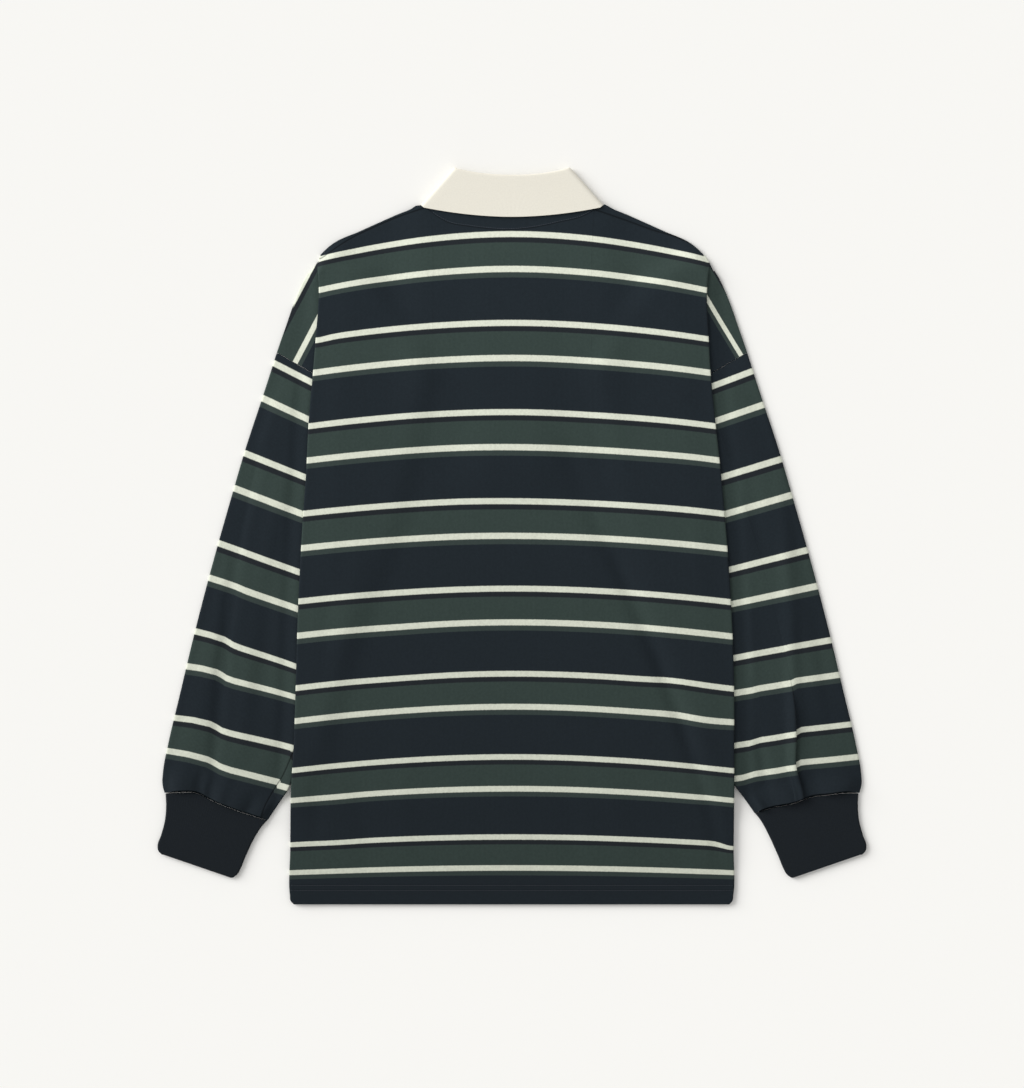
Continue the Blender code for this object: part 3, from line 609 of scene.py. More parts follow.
# Stripes of each sleeve: height on the outer edge, repeats counted, and fall towards the body
SLEEVE_STRIPES = {
    -1: table("y count slope",
              (-277.0, 5.0, 0.28), (-226.3, 4.0 + A_TO_B, 0.28), (-191.6, 4.0, 0.254),
              (-137.5, 3.0 + A_TO_B, 0.285), (-100.8, 3.0, 0.35), (-44.6, 2.0 + A_TO_B, 0.352),
              (-8.4, 2.0, 0.36), (49.3, 1.0 + A_TO_B, 0.38), (86.1, 1.0, 0.40),
              (143.8, A_TO_B, 0.467), (180.6, 0.0, 0.51), (236.0, -1.0 + A_TO_B, 0.51)),
    1: table("y count slope",
             (-284.0, 5.0, 0.17), (-232.6, 4.0 + A_TO_B, 0.175), (-198.4, 4.0, 0.184),
             (-146.6, 3.0 + A_TO_B, 0.175), (-110.2, 3.0, 0.184), (-53.5, 2.0 + A_TO_B, 0.21),
             (-15.7, 2.0, 0.253), (42.0, 1.0 + A_TO_B, 0.286), (79.8, 1.0, 0.305),
             (137.0, A_TO_B, 0.344), (172.2, 0.0, 0.38), (228.0, -1.0 + A_TO_B, 0.38)),
}
# Ridges and troughs that the gathers make: place across the sleeve, half width, height, length
GATHERS = {
    -1: table("across width height length",
              (0.14, 0.08, 1.8, 44.0), (0.31, 0.04, -2.6, 46.0), (0.42, 0.04, -2.2, 50.0),
              (0.53, 0.05, 1.6, 70.0), (0.66, 0.09, 1.2, 60.0), (0.80, 0.05, -1.8, 40.0)),
    1: table("across width height length",
             (0.20, 0.10, 1.8, 44.0), (0.40, 0.045, -2.8, 50.0), (0.47, 0.03, -2.4, 54.0),
             (0.66, 0.08, 1.8, 60.0), (0.84, 0.05, -3.0, 50.0), (0.93, 0.04, 0.8, 24.0)),
}
KNIFE_PLEAT = dict(side=1, depth=7.0, start=0.68, full=0.84)
SLEEVE_FOLDS = {
    -1: table("x0 y0 x1 y1 width height",
              (271, 77, 284, 20, 8, -1.4), (284, 20, 296, -70, 7, -2.0),
              (296, -70, 304, -140, 7, -2.5), (304, -140, 311, -215, 7, -2.5),
              (311, -215, 315, -250, 6, -2.0), (255, -70, 262, -170, 9, -1.0),
              (240, 60, 262, -40, 9, 0.9), (276, -120, 284, -230, 9, 1.0),
              (246, 140, 262, 90, 8, 0.8)),
    1: table("x0 y0 x1 y1 width height",
             (268, 120, 283, 60, 8, 0.9), (283, 60, 288, -20, 8, 1.7),
             (288, -20, 293, -100, 8, 2.3), (293, -100, 296, -200, 7, 2.6),
             (296, -200, 300, -268, 7, 1.8), (248, -60, 252, -150, 8, 1.0),
             (259, -215, 270, -276, 6, -2.0), (322, -110, 338, -220, 8, -1.2),
             (250, 60, 262, -20, 8, -0.9)),
}
SLEEVE_LOFT = 2.4
# Where the main fold lies across each sleeve, and how far the pattern is drawn up on its sides
FOLD_PLACE = {
    -1: table("s across", (0.0, 0.24), (0.6, 0.27), (0.73, 0.30), (0.83, 0.35), (0.925, 0.41),
              (1.0, 0.44)),
    1: table("s across", (0.0, 0.34), (0.6, 0.36), (0.73, 0.386), (0.83, 0.437), (0.88, 0.483),
             (0.925, 0.51), (1.0, 0.535)),
}
SLEEVE_PULL = {
    -1: table("share up", (0.0, 0.0), (0.4, 2.6), (0.8, 3.0), (0.95, 1.2), (1.08, -0.8),
              (1.3, -1.4), (1.8, -0.7), (2.4, 0.0)),
    1: table("share up", (0.0, 0.0), (0.35, 1.8), (0.86, 4.6), (0.93, 4.8), (0.94, 0.6),
             (1.3, 0.4), (1.65, 1.0), (1.85, -0.6), (2.1, 0.0)),
}
PULL_FROM = {-1: (0.0, 190.0), 1: (80.0, 250.0)}
UNDER_SEAM = table("y x", (-340.0, 253.0), (-294.4, 262.3), (-266.7, 249.3), (-254.4, 241.5),
                   (-232.9, 231.5), (-220.0, 226.0), (300.0, 90.0))
# How far up the sleeve its end is drawn at places across it
SEAM_RISE = {
    -1: table("across rise", (0.0, 0.0), (0.1, 3.5), (0.28, 8.0), (0.45, 4.5), (0.7, 1.5),
              (0.9, 0.4), (1.0, 0.0)),
    1: table("across rise", (0.0, 0.0), (0.1, 3.0), (0.28, 6.0), (0.45, 8.5), (0.6, 7.0),
             (0.85, 8.5), (1.0, 8.0)),
}


def sleeve_count(x, y, share, side):
    """Repeats down the sleeve at a place, read where its stripe meets the outer edge."""
    rows = SLEEVE_STRIPES[side]
    up = float(np.interp(share, SLEEVE_PULL[side]["share"], SLEEVE_PULL[side]["up"]))
    if side < 0:
        past_seam = smooth(UNDER_SEAM, "y", "x", y) - x
        up -= UNDER_STEP * ramp(past_seam, 0.0, 0.8) * (1 - ramp(y, -225, -205))
    y -= ramp(-y, *PULL_FROM[side]) * up
    level = y
    for _ in range(3):
        away = max(outer_x(min(max(level, -272.0), 286.0)) - x, 0.0)
        level = y + smooth(rows, "y", "slope", min(max(level, -284.0), 236.0)) * away
    return min(smooth(rows, "y", "count", level), LAST_COUNT)


def sleeve_middle(x, y, side):
    lift = 2 * PITCH * (1 - ramp(x - side_x(y, side), 1, 1 + SLOPE_RUN))
    return WALL / 2 + PITCH / 2 + lift * ramp(y, -318, SLEEVE_OUT_Y)


def gather_height(side, across, to_seam):
    rows = GATHERS[side]
    total = 0.0
    for place, width, height, length in zip(rows["across"], rows["width"], rows["height"],
                                            rows["length"]):
        share = 1 - ramp(to_seam, 0, length)
        total += height * math.exp(-((across - place) / width) ** 2) * share
    return total


def sleeve_cover(outer, inner, side):
    """How far across the sleeve the body's edge is, and where the sleeve reaches the table."""
    found = []
    for beyond in (1.0, 1.0 + SLOPE_RUN):
        low, high = 0.0, 1.0
        for _ in range(20):
            half = (low + high) / 2
            x, y = lerp(outer, inner, half)
            if x > side_x(y, side) + beyond:
                low = half
            else:
                high = half
        found.append(low)
    return min(found[0], 0.97), min(found[1], 0.90)


def knife_pleat(s, across, width):
    turn = math.pi * max(ramp(s, KNIFE_PLEAT["start"], KNIFE_PLEAT["full"]), 0.06)
    depth = 0.4 + KNIFE_PLEAT["depth"] * ramp(s, KNIFE_PLEAT["start"] + 0.06, 1.0)
    path = tuck(turn, depth, PITCH / 2, turn, PITCH / 2, 4, 4)
    drop = path[-1][1]
    points = [(across - out / width, drop - down, angle) for out, down, angle, _ in path[::-1]]
    points.append((across, drop, 0.0))
    for k in range(1, 6):
        points.append((across + 0.014 * k, drop * (1 - ramp(k, 0, 6)), 0.0))
    return points


UNDER_STEP = 3.4        # step of the stripes at the left sleeve's under-arm seam
LAST_COUNT = 4.95       # the sleeves end in navy, just before the next off-white line
ROLL = 1.0              # radius of the sleeve's end, where it rolls under to the cuff seam
ROLL_TURN = math.radians(150)
ROLL_STEPS = 6
OVERHANG = 2.2          # how far the rolled end stands out over the cuff
SEAM_LIFT = 3.7         # height of the rolled end over the lower layer, in a trough
SEAM_WAVE = 1.3         # how much the gathers grow towards the seam
WAVE_MIN, WAVE_BASE = -1.6, 1.2
SEAM_ZONE = 30.0        # length above the seam over which the end rises to the cuff
DRAWN_ZONE = 70.0       # length over which the end is drawn up unevenly
LOFT_MIN = 0.15
EDGE_SHARE = 0.35       # share of the loft that stays along the sleeve's folded edges


def sleeve_loop(s, side, turn=0.0):
    """A section round the sleeve; turn rolls its upper layer over the cuff seam."""
    out_y = smooth(SLEEVE, "s", "outer", s)
    in_y = out_y - smooth(SLEEVE, "s", "slant", s)
    inset = WALL / 2 + PITCH / 2
    outer = np.array((outer_x(out_y) - inset, out_y))
    inner = np.array((inner_x(in_y) + inset, in_y))
    width = np.linalg.norm(inner - outer)
    down = np.array((inner[1] - outer[1], outer[0] - inner[0])) / width
    to_seam = out_y - SLEEVE["outer"][-1]
    pitch = lerp(PITCH, RIB_PITCH, 1 - ramp(to_seam, 0, SEAM_ZONE))
    draw = 1 - ramp(to_seam, 0, DRAWN_ZONE)
    fold_place = smooth(FOLD_PLACE[side], "s", "across", s)
    loop = []

    def add(across, out, rise, angle, loft, rolled=0.0):
        place = lerp(outer, inner, across)
        place = place + down * draw * smooth(SEAM_RISE[side], "across", "rise",
                                             min(max(across, 0), 1))
        x = place[0] + out
        middle = sleeve_middle(x, place[1], side) + (pitch - PITCH) / 2
        lean = turn * rolled
        ahead = down * (rolled * OVERHANG * (1 - ramp(to_seam, 0, 8)) + ROLL * math.sin(lean))
        sink = ROLL * (1 - math.cos(lean))
        normal = (side * (math.sin(angle) + down[0] * math.sin(lean)), down[1] * math.sin(lean),
                  math.cos(angle) * math.cos(lean))
        under = x - smooth(UNDER_SEAM, "y", "x", place[1]) if side < 0 else 90.0
        loop.append(((side * (x + ahead[0]), place[1] + ahead[1], middle + rise + loft - sink),
                     normal, sleeve_count(x, place[1], across / fold_place, side), across * width,
                     out_y, under if rise > 0 else 90.0))

    def shape(across):
        """Loft of the upper layer and how much of the end's roll it takes part in."""
        place = lerp(outer, inner, across)
        free = ramp(place[0] - side_x(place[1], side), 4, 22) * ramp(s, 0.0, 0.06)
        edge = ramp(across, 0.0, 0.10) * (1 - ramp(across, 0.93, 1.0))
        swell = SLEEVE_LOFT * ramp(across, 0.0, 0.2) * (1 - ramp(across, 0.75, 1.0))
        swell += folds(SLEEVE_FOLDS[side], *place)
        waves = gather_height(side, across, to_seam)
        swell = max(swell + waves, LOFT_MIN) * lerp(EDGE_SHARE, 1.0, edge)
        near_seam = (1 - ramp(to_seam, 0, SEAM_ZONE)) * edge
        at_seam = SEAM_LIFT + SEAM_WAVE * (max(waves, WAVE_MIN) + WAVE_BASE)
        return free * lerp(swell, at_seam, near_seam), edge

    def add_top(across, rise=0.0, angle=0.0):
        loft, edge = shape(across)
        add(across, 0.0, pitch / 2 + rise, angle, loft, edge)

    covered, free = sleeve_cover(outer, inner, side)
    if side == KNIFE_PLEAT["side"]:
        pleat = fold_place
        for across in np.linspace(0.0, pleat - 0.05, 13):
            add_top(across)
        for point in knife_pleat(s, pleat, width):
            add_top(point[0], point[1], point[2])
        tops = np.linspace(pleat + 0.085, max(free - 0.02, pleat + 0.1), 14)
    else:
        tops = np.linspace(0.0, free - 0.02, 36)
    for across in tops:
        add_top(across)
    start = max(free, tops[-1] + 0.01)
    slope = list(np.linspace(start, max(covered, start + 0.005), 7))
    slope += list(np.linspace(slope[-1], 1.0, 5)[1:])
    for across in slope[:-1]:
        add_top(across)
    add(1.0, 0.0, pitch / 2, 0.0, 0.0)
    for k in range(1, ROUND):
        a = math.pi * k / ROUND
        add(1.0, -pitch / 2 * math.sin(a), pitch / 2 * math.cos(a), -a, 0.0)
    for across in slope[::-1] + list(np.linspace(0.95 * slope[0], 0.0, 14)):
        add(across, 0.0, -pitch / 2, math.pi, 0.0)
    for k in range(1, ROUND):
        a = math.pi - math.pi * k / ROUND
        add(0.0, pitch / 2 * math.sin(a), pitch / 2 * math.cos(a), a, 0.0)
    return loop


SLEEVE_LABELS = ("stripe", "across", "along", "seam")
sleeves = {}
stations = list(np.linspace(0, 0.86, 64)) + list(np.linspace(0.866, 1.0, 26))
for side, label in ((-1, "left"), (1, "right")):
    loops = [sleeve_loop(s, side) for s in stations]
    loops += [sleeve_loop(1.0, side, ROLL_TURN * k / ROLL_STEPS)
              for k in range(1, ROLL_STEPS + 1)]
    sleeves[side] = cloth(f"sleeve_{label}_cloth", loops, WALL, sleeve_jersey, closed=True,
                          labels=SLEEVE_LABELS)
    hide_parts(f"sleeve_{label}")
    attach(sleeves[side], "root")


# Cuffs
# A band of navy rib, knitted double and sewn on drawn in, so that the sleeve gathers above it.
# Its ribs run to the hand, and it lies pressed flat.
CUFF = table("s outer_x outer_y inner_x inner_y",
             (0.0, 363.6, -271.4, 256.8, -299.4), (0.16, 363.0, -284.0, 263.5, -307.0),
             (0.36, 364.2, -299.0, 271.5, -320.0), (0.6, 368.0, -314.0, 279.0, -336.0),
             (0.86, 372.0, -327.5, 285.8, -352.0), (0.94, 371.0, -332.0, 288.5, -356.5),
             (1.0, 367.5, -335.4, 293.0, -359.6))
RIB_COUNT = 40
RIB_HEIGHT = 0.13
CUFF_WALL = 1.2
CUFF_LEVEL = (RIB_WALL + RIB_PITCH - CUFF_WALL) / 2
TUCKED = dict(inset=1.5, level=0.24, thin=0.3, middle=1.7)


def cuff_loop(s, side, inside=0.0):
    """A section round the cuff; inside is how far it reaches into the sleeve's end."""
    inset = CUFF_WALL / 2 + CUFF_LEVEL + (TUCKED["inset"] if inside else 0.0)
    level = TUCKED["level"] if inside else CUFF_LEVEL
    thin = TUCKED["thin"] if inside else 1.0
    middle = TUCKED["middle"] if inside else CUFF_WALL / 2 + CUFF_LEVEL
    outer = np.array((smooth(CUFF, "s", "outer_x", s) - inset, smooth(CUFF, "s", "outer_y", s)))
    inner = np.array((smooth(CUFF, "s", "inner_x", s) + inset, smooth(CUFF, "s", "inner_y", s)))
    across_way = inner - outer
    down = np.array((across_way[1], -across_way[0])) / np.linalg.norm(across_way)
    draw = 1 - ramp(s, 0.0, 0.5)
    puff = 0.5 * math.sin(math.pi * min(s * 1.1, 1.0))
    loop = []

    def add(across, out, rise, angle, ribbed):
        place = lerp(outer, inner, across) - down * inside
        place = place + down * draw * smooth(SEAM_RISE[side], "across", "rise", across)
        rib = RIB_HEIGHT * (1 - math.cos(2 * math.pi * RIB_COUNT * across)) / 2 * ribbed
        loft = puff * math.sin(math.pi * across) if rise > 0 else 0.0
        loop.append(((side * (place[0] + out), place[1],
                      middle + rise + loft + (-rib if rise > 0 else rib)),
                     (thin * side * math.sin(angle), 0.0, thin * math.cos(angle)), 0.0,
                     across * 84.0, s * 60.0))

    ribs = 0.0 if inside else 1.0
    for across in np.linspace(0.0, 1.0, 4 * RIB_COUNT + 1):
        add(across, 0.0, level, 0.0, ribs)
    for k in range(1, ROUND):
        a = math.pi * k / ROUND
        add(1.0, -level * math.sin(a), level * math.cos(a), -a, 0.0)
    for across in np.linspace(1.0, 0.0, 4 * RIB_COUNT + 1):
        add(across, 0.0, -level, math.pi, ribs)
    for k in range(1, ROUND):
        a = math.pi - math.pi * k / ROUND
        add(0.0, level * math.sin(a), level * math.cos(a), a, 0.0)
    return loop


def band_knit(name, colour, look, stitch, relief):
    """Finish of a knitted band; its look is roughness, gloss, sheen, grain and spread of tone."""
    roughness, gloss, sheen, grain, spread = look
    finish, tree, shader = plain_material(name, colour, roughness)
    shader.inputs["Specular IOR Level"].default_value = gloss
    shader.inputs["Sheen Weight"].default_value = sheen
    shader.inputs["Sheen Roughness"].default_value = 0.5
    coords, tone, hue, bump = add_nodes(tree, "ShaderNodeTexCoord", "ShaderNodeTexNoise",
                                        "ShaderNodeHueSaturation", "ShaderNodeBump")
    tree.links.new(coords.outputs["Object"], tone.inputs["Vector"])
    tone.inputs["Scale"].default_value = grain
    hue.inputs["Color"].default_value = (*colour, 1)
    value = math_node(tree, 'MULTIPLY', tone.outputs["Fac"], spread)
    tree.links.new(math_node(tree, 'ADD', value, 1 - spread / 2), hue.inputs["Value"])
    tree.links.new(hue.outputs["Color"], shader.inputs["Base Color"])
    bump.inputs["Strength"].default_value, bump.inputs["Distance"].default_value = relief
    tree.links.new(knit_height(tree, *stitch), bump.inputs["Height"])
    tree.links.new(bump.outputs["Normal"], shader.inputs["Normal"])
    return finish


rib = band_knit("rib_knit", CUFF_NAVY, (0.9, 0.10, 0.04, 500.0, 0.4), (1.05, 1.2),
                (0.5, 0.0003))
cuffs = {}
for side, label in ((-1, "left"), (1, "right")):
    loops = [cuff_loop(0.0, side, inside) for inside in (2.4, 1.2, 0.4)]
    loops += [cuff_loop(s, side) for s in np.linspace(0, 1, 22)]
    cuffs[side] = cloth(f"cuff_{label}_rib", loops, CUFF_WALL, rib, closed=True)
    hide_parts(f"cuff_{label}")
    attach(cuffs[side], "root")


# Collar
# One flat-knit strip in cream cotton. It stands up from the neck seam, rolls over and falls
# outside, all round, and its front ends lie face down under the chest.
COLLAR_TOP = (60.0, 386.4)
COLLAR_LOW = (95.6, 346.0)
COLLAR_DIP = 8.6
COLLAR_DROP = 12.5
LEAF_POINT = (72.0, 222.0)
LEAF_END = (13.0, 266.0)
STAND_LEVEL = RIB_PITCH / 2
FALL_LEVEL = STAND_LEVEL + RIB_PITCH
COLLAR_MIDDLE = RIB_WALL / 2 + FALL_LEVEL


def collar_section(neck, roll, edge, face, run):
    neck, roll, edge, face = (np.array(p, float) for p in (neck, roll, edge, face))
    up = roll - edge
    up = np.array((*(up[:2] / np.linalg.norm(up[:2])), 0.0))
    stand, fall = np.linalg.norm(roll - neck), np.linalg.norm(roll - edge)
    points = []
    for t in np.linspace(0, 1, 7):
        points.append((lerp(neck, roll, t) + face * STAND_LEVEL, -face, run, t * stand))
    for k in range(1, 8):
        b = math.pi * k / 8
        level = STAND_LEVEL + RIB_PITCH / 2 * (1 - math.cos(b))
        points.append((roll + up * RIB_PITCH / 2 * math.sin(b) + face * level,
                       up * math.sin(b) - face * math.cos(b), run, stand + k * 0.4))
    for t in np.linspace(0, 1, 16):
        points.append((lerp(roll, edge, t) + face * FALL_LEVEL, face, run, stand + 3.5 + t * fall))
    return points


def collar_half():
    reach = FALL_LEVEL + RIB_WALL / 2
    corner, low = np.array(COLLAR_TOP), np.array(COLLAR_LOW)
    line = low - corner
    out = np.array((-line[1], line[0])) / np.linalg.norm(line)
    top = corner - out * reach + line / np.linalg.norm(line) * (RIB_PITCH + RIB_WALL) / 2
    low = low - out * reach
    seam = lerp(top, low, 0.96)
    sections = []
    for a in np.linspace(0, 1, 25):
        neck = (seam[0] * a, lerp(BACK_NECK_Y + 2.0, seam[1], a * a), COLLAR_MIDDLE)
        roll = (top[0] * a, lerp(COLLAR_TOP[1] - COLLAR_DIP - 2.0, top[1] + 0.6, a ** 2.2),
                COLLAR_MIDDLE)
        edge = (low[0] * a, lerp(COLLAR_LOW[1] - COLLAR_DROP, low[1], a ** 1.9), COLLAR_MIDDLE)
        sections.append(collar_section(neck, roll, edge, (0, 0, 1), a * 92))
    for k in range(1, 14):
        a = math.pi / 2 - math.pi * k / 14
        face = (out[0] * math.cos(a), out[1] * math.cos(a), math.sin(a))
        sections.append(collar_section((*seam, COLLAR_MIDDLE), (*top, COLLAR_MIDDLE),
                                       (*low, COLLAR_MIDDLE), face, 92 + k * 0.8))
    for b in np.linspace(0, 1, 27):
        neck_x = lerp(seam[0], PLACKET_HALF + 1.5, b)
        neck_y = lerp(seam[1], front_neck(neck_x) + 3.4, ramp(b, 0.0, 0.16))
        roll = (*lerp(top, np.array(LEAF_END), b), COLLAR_MIDDLE)
        edge = (*lerp(low, np.array(LEAF_POINT), b), COLLAR_MIDDLE)
        sections.append(collar_section((neck_x, neck_y, COLLAR_MIDDLE), roll, edge, (0, 0, -1),
                                       103 + b * 120))
    return sections


knit = band_knit("collar_knit", CREAM, (0.85, 0.2, 0.03, 600.0, 0.1), (1.5, 1.3),
                 (0.45, 0.0004))
half = [[(tuple(p), tuple(n), 0.0, run, up) for p, n, run, up in row] for row in collar_half()]
mirrored = [[((-p[0], p[1], p[2]), (-n[0], n[1], n[2]), 0.0, -run, up)
             for p, n, _, run, up in row] for row in half]
collar = cloth("collar_cloth", mirrored[:0:-1] + half, RIB_WALL, knit)
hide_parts("collar")
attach(collar, "root")


# Placket
# Two strips of off-white cotton twill face the slit down the chest, one on the other, with a
# boxed end. They lie under the shirt here, so they show from below.
PLACKET_TOP = 257.0
PLACKET_WHITE = (0.80, 0.79, 0.71)


def placket_twill():
    finish, tree, shader = plain_material("placket_twill", PLACKET_WHITE, 0.8)
    shader.inputs["Specular IOR Level"].default_value = 0.25
    coords, split, bump = add_nodes(tree, "ShaderNodeTexCoord", "ShaderNodeSeparateXYZ",
                                    "ShaderNodeBump")
    tree.links.new(coords.outputs["Object"], split.inputs["Vector"])
    slant = math_node(tree, 'ADD', split.outputs["X"], split.outputs["Y"])
    rib_line = math_node(tree, 'SINE', math_node(tree, 'MULTIPLY', slant, 2 * math.pi / 0.0009))
    tree.links.new(rib_line, bump.inputs["Height"])
    bump.inputs["Strength"].default_value = 0.5
    bump.inputs["Distance"].default_value = 0.00015
    tree.links.new(bump.outputs["Normal"], shader.inputs["Normal"])
    return finish


twill = placket_twill()
plackets = []
# Each strip: half its width, its lower end and its level above the other strip
STRIPS = (("placket_upper", PLACKET_HALF - SEAM, SLOT_END_Y + SEAM, 0.0),
          ("placket_lower", PLACKET_HALF - 1.5, SLOT_END_Y + 3.0, PITCH))
for name, half_width, low_y, level in STRIPS:
    rows = []
    for y in np.linspace(PLACKET_TOP, low_y, 46):
        row = []
        for x in np.linspace(-half_width, half_width, 17):
            fold = 0.12 * math.exp(-((abs(x) - half_width + 2.2) / 0.5) ** 2)
            z = WALL / 2 + front_lift(x, y) + level + fold
            row.append(((x, y, z), (0.0, 0.0, 1.0), 0.0, x, y))
        rows.append(row)
    strip = cloth(name + "_twill", rows, WALL, twill)
    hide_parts(name)
    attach(strip, "root")
    plackets.append(strip)


# Buttons
# Three four-hole buttons of cream resin, sewn on with a cross of thread.
BUTTON_RADIUS = 5.6
BUTTON_THICK = 1.7
BUTTON_HOLE = 0.8
BUTTON_HOLE_PLACE = 1.7
BUTTON_PLACES = (240.0, 184.0, 128.0)


def button_resin():
    finish, tree, shader = plain_material("button_resin", (0.75, 0.72, 0.62), 0.28)
    shader.inputs["Coat Weight"].default_value = 0.4
    coords, cloud, mix = add_nodes(tree, "ShaderNodeTexCoord", "ShaderNodeTexNoise",
                                   "ShaderNodeMix")
    tree.links.new(coords.outputs["Object"], cloud.inputs["Vector"])
    cloud.inputs["Scale"].default_value = 260.0
    cloud.inputs["Distortion"].default_value = 1.5
    mix.data_type = 'RGBA'
    mix.inputs["A"].default_value = (0.70, 0.66, 0.55, 1)
    mix.inputs["B"].default_value = (0.84, 0.82, 0.74, 1)
    tree.links.new(cloud.outputs["Fac"], mix.inputs["Factor"])
    tree.links.new(mix.outputs["Result"], shader.inputs["Base Color"])
    return finish


resin = button_resin()
BUTTON_PROFILE = ((0.0, 0.45), (0.55, 0.45), (0.66, 0.36), (0.74, 0.12), (0.80, 0.0),
                  (0.90, 0.0), (0.96, 0.1), (1.0, 0.4), (1.0, 1.25), (0.97, 1.5),
                  (0.9, BUTTON_THICK), (0.0, BUTTON_THICK))
for n, place in enumerate(BUTTON_PLACES):
    bm = bmesh.new()
    line = [bm.verts.new((BUTTON_RADIUS * r * MM, 0, z * MM)) for r, z in BUTTON_PROFILE]
    edges = [bm.edges.new(pair) for pair in zip(line, line[1:])]
    bmesh.ops.spin(bm, geom=line + edges, axis=(0, 0, 1), cent=(0, 0, 0), angle=2 * math.pi,
                   steps=48, use_merge=False, use_duplicate=False)
    bmesh.ops.remove_doubles(bm, verts=bm.verts, dist=0.000005)
    bmesh.ops.recalc_face_normals(bm, faces=bm.faces)
    bmesh.ops.translate(bm, verts=bm.verts, vec=(0, (place - MIDDLE_Y) * MM, 0))
    mesh = bpy.data.meshes.new(f"button_{n + 1}_resin")
    bm.to_mesh(mesh)
    bm.free()
    drill = bmesh.new()
    for x in (-1, 1):
        for y in (-1, 1):
            hole = bmesh.ops.create_cone(drill, cap_ends=True, segments=16, depth=0.006,
                                         radius1=BUTTON_HOLE * MM, radius2=BUTTON_HOLE * MM)
            at = (BUTTON_HOLE_PLACE * x * MM, (BUTTON_HOLE_PLACE * y + place - MIDDLE_Y) * MM,
                  0.001)
            bmesh.ops.translate(drill, verts=hole["verts"], vec=at)
    drill_mesh = bpy.data.meshes.new("drill")
    drill.to_mesh(drill_mesh)
    drill.free()
    whole = bpy.data.objects.new("whole", mesh)
    cutter = bpy.data.objects.new("drill", drill_mesh)
    for thing in (whole, cutter):
        bpy.context.collection.objects.link(thing)
    cut = whole.modifiers.new("holes", 'BOOLEAN')
    cut.operation = 'DIFFERENCE'
    cut.object = cutter
    bpy.context.view_layer.update()
    drilled = bpy.data.meshes.new_from_object(
        whole.evaluated_get(bpy.context.evaluated_depsgraph_get()))
    for thing in (whole, cutter):
        bpy.data.objects.remove(thing)
    button = bpy.data.objects.new(f"button_{n + 1}_resin", drilled)
    bpy.context.collection.objects.link(button)
    drilled.shade_smooth()
    drilled.set_sharp_from_angle(angle=math.radians(35))
    drilled.materials.clear()
    drilled.materials.append(resin)
    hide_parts(f"button_{n + 1}")
    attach(button, "root")


# Sewing
# Lockstitch in thread a shade lighter than the jersey, and off-white thread on the placket,
# its buttonholes and its buttons.
STITCH = dict(pitch=3.0, length=2.2, thick=0.42)
THREADS = {}
for name, colour in (("navy_thread", (0.050, 0.060, 0.078)), ("pale_thread", (0.80, 0.78, 0.70))):
    THREADS[name], tree, shader = plain_material(name, colour, 0.6)
    coords, twist, bump = add_nodes(tree, "ShaderNodeTexCoord", "ShaderNodeTexNoise",
                                    "ShaderNodeBump")
    tree.links.new(coords.outputs["Object"], twist.inputs["Vector"])
    twist.inputs["Scale"].default_value = 4000.0
    tree.links.new(twist.outputs["Fac"], bump.inputs["Height"])
    bump.inputs["Distance"].default_value = 0.0001
    tree.links.new(bump.outputs["Normal"], shader.inputs["Normal"])


def stitch_nodes():
    """Geometry Nodes that lay one stitch at each step along a line of edges."""
    tree = bpy.data.node_groups.new("stitches", 'GeometryNodeTree')
    tree.interface.new_socket("Geometry", in_out='INPUT', socket_type='NodeSocketGeometry')
    for name in ("Pitch", "Length", "Thickness"):
        tree.interface.new_socket(name, in_out='INPUT', socket_type='NodeSocketFloat')
    tree.interface.new_socket("Thread", in_out='INPUT', socket_type='NodeSocketMaterial')
    tree.interface.new_socket("Geometry", in_out='OUTPUT', socket_type='NodeSocketGeometry')
    (start, end, curve, resample, ball, size, place, along, turn, real, paint) = add_nodes(
        tree, "NodeGroupInput", "NodeGroupOutput", "GeometryNodeMeshToCurve",
        "GeometryNodeResampleCurve", "GeometryNodeMeshUVSphere", "ShaderNodeCombineXYZ",
        "GeometryNodeInstanceOnPoints", "GeometryNodeInputTangent",
        "FunctionNodeAlignRotationToVector", "GeometryNodeRealizeInstances",
        "GeometryNodeSetMaterial")
    resample.mode = 'LENGTH'
    ball.inputs["Segments"].default_value = 6
    ball.inputs["Rings"].default_value = 5
    ball.inputs["Radius"].default_value = 0.5
    turn.axis = 'X'
    links = ((start.outputs["Geometry"], curve.inputs["Mesh"]),
             (curve.outputs["Curve"], resample.inputs["Curve"]),
             (start.outputs["Pitch"], resample.inputs["Length"]),
             (resample.outputs["Curve"], place.inputs["Points"]),
             (ball.outputs["Mesh"], place.inputs["Instance"]),
             (along.outputs["Tangent"], turn.inputs["Vector"]),
             (turn.outputs["Rotation"], place.inputs["Rotation"]),
             (start.outputs["Length"], size.inputs["X"]),
             (start.outputs["Thickness"], size.inputs["Y"]),
             (start.outputs["Thickness"], size.inputs["Z"]),
             (size.outputs["Vector"], place.inputs["Scale"]),
             (place.outputs["Instances"], real.inputs["Geometry"]),
             (real.outputs["Geometry"], paint.inputs["Geometry"]),
             (start.outputs["Thread"], paint.inputs["Material"]),
             (paint.outputs["Geometry"], end.inputs["Geometry"]))
    for source, target in links:
        tree.links.new(source, target)
    return tree


stitch_tree = stitch_nodes()


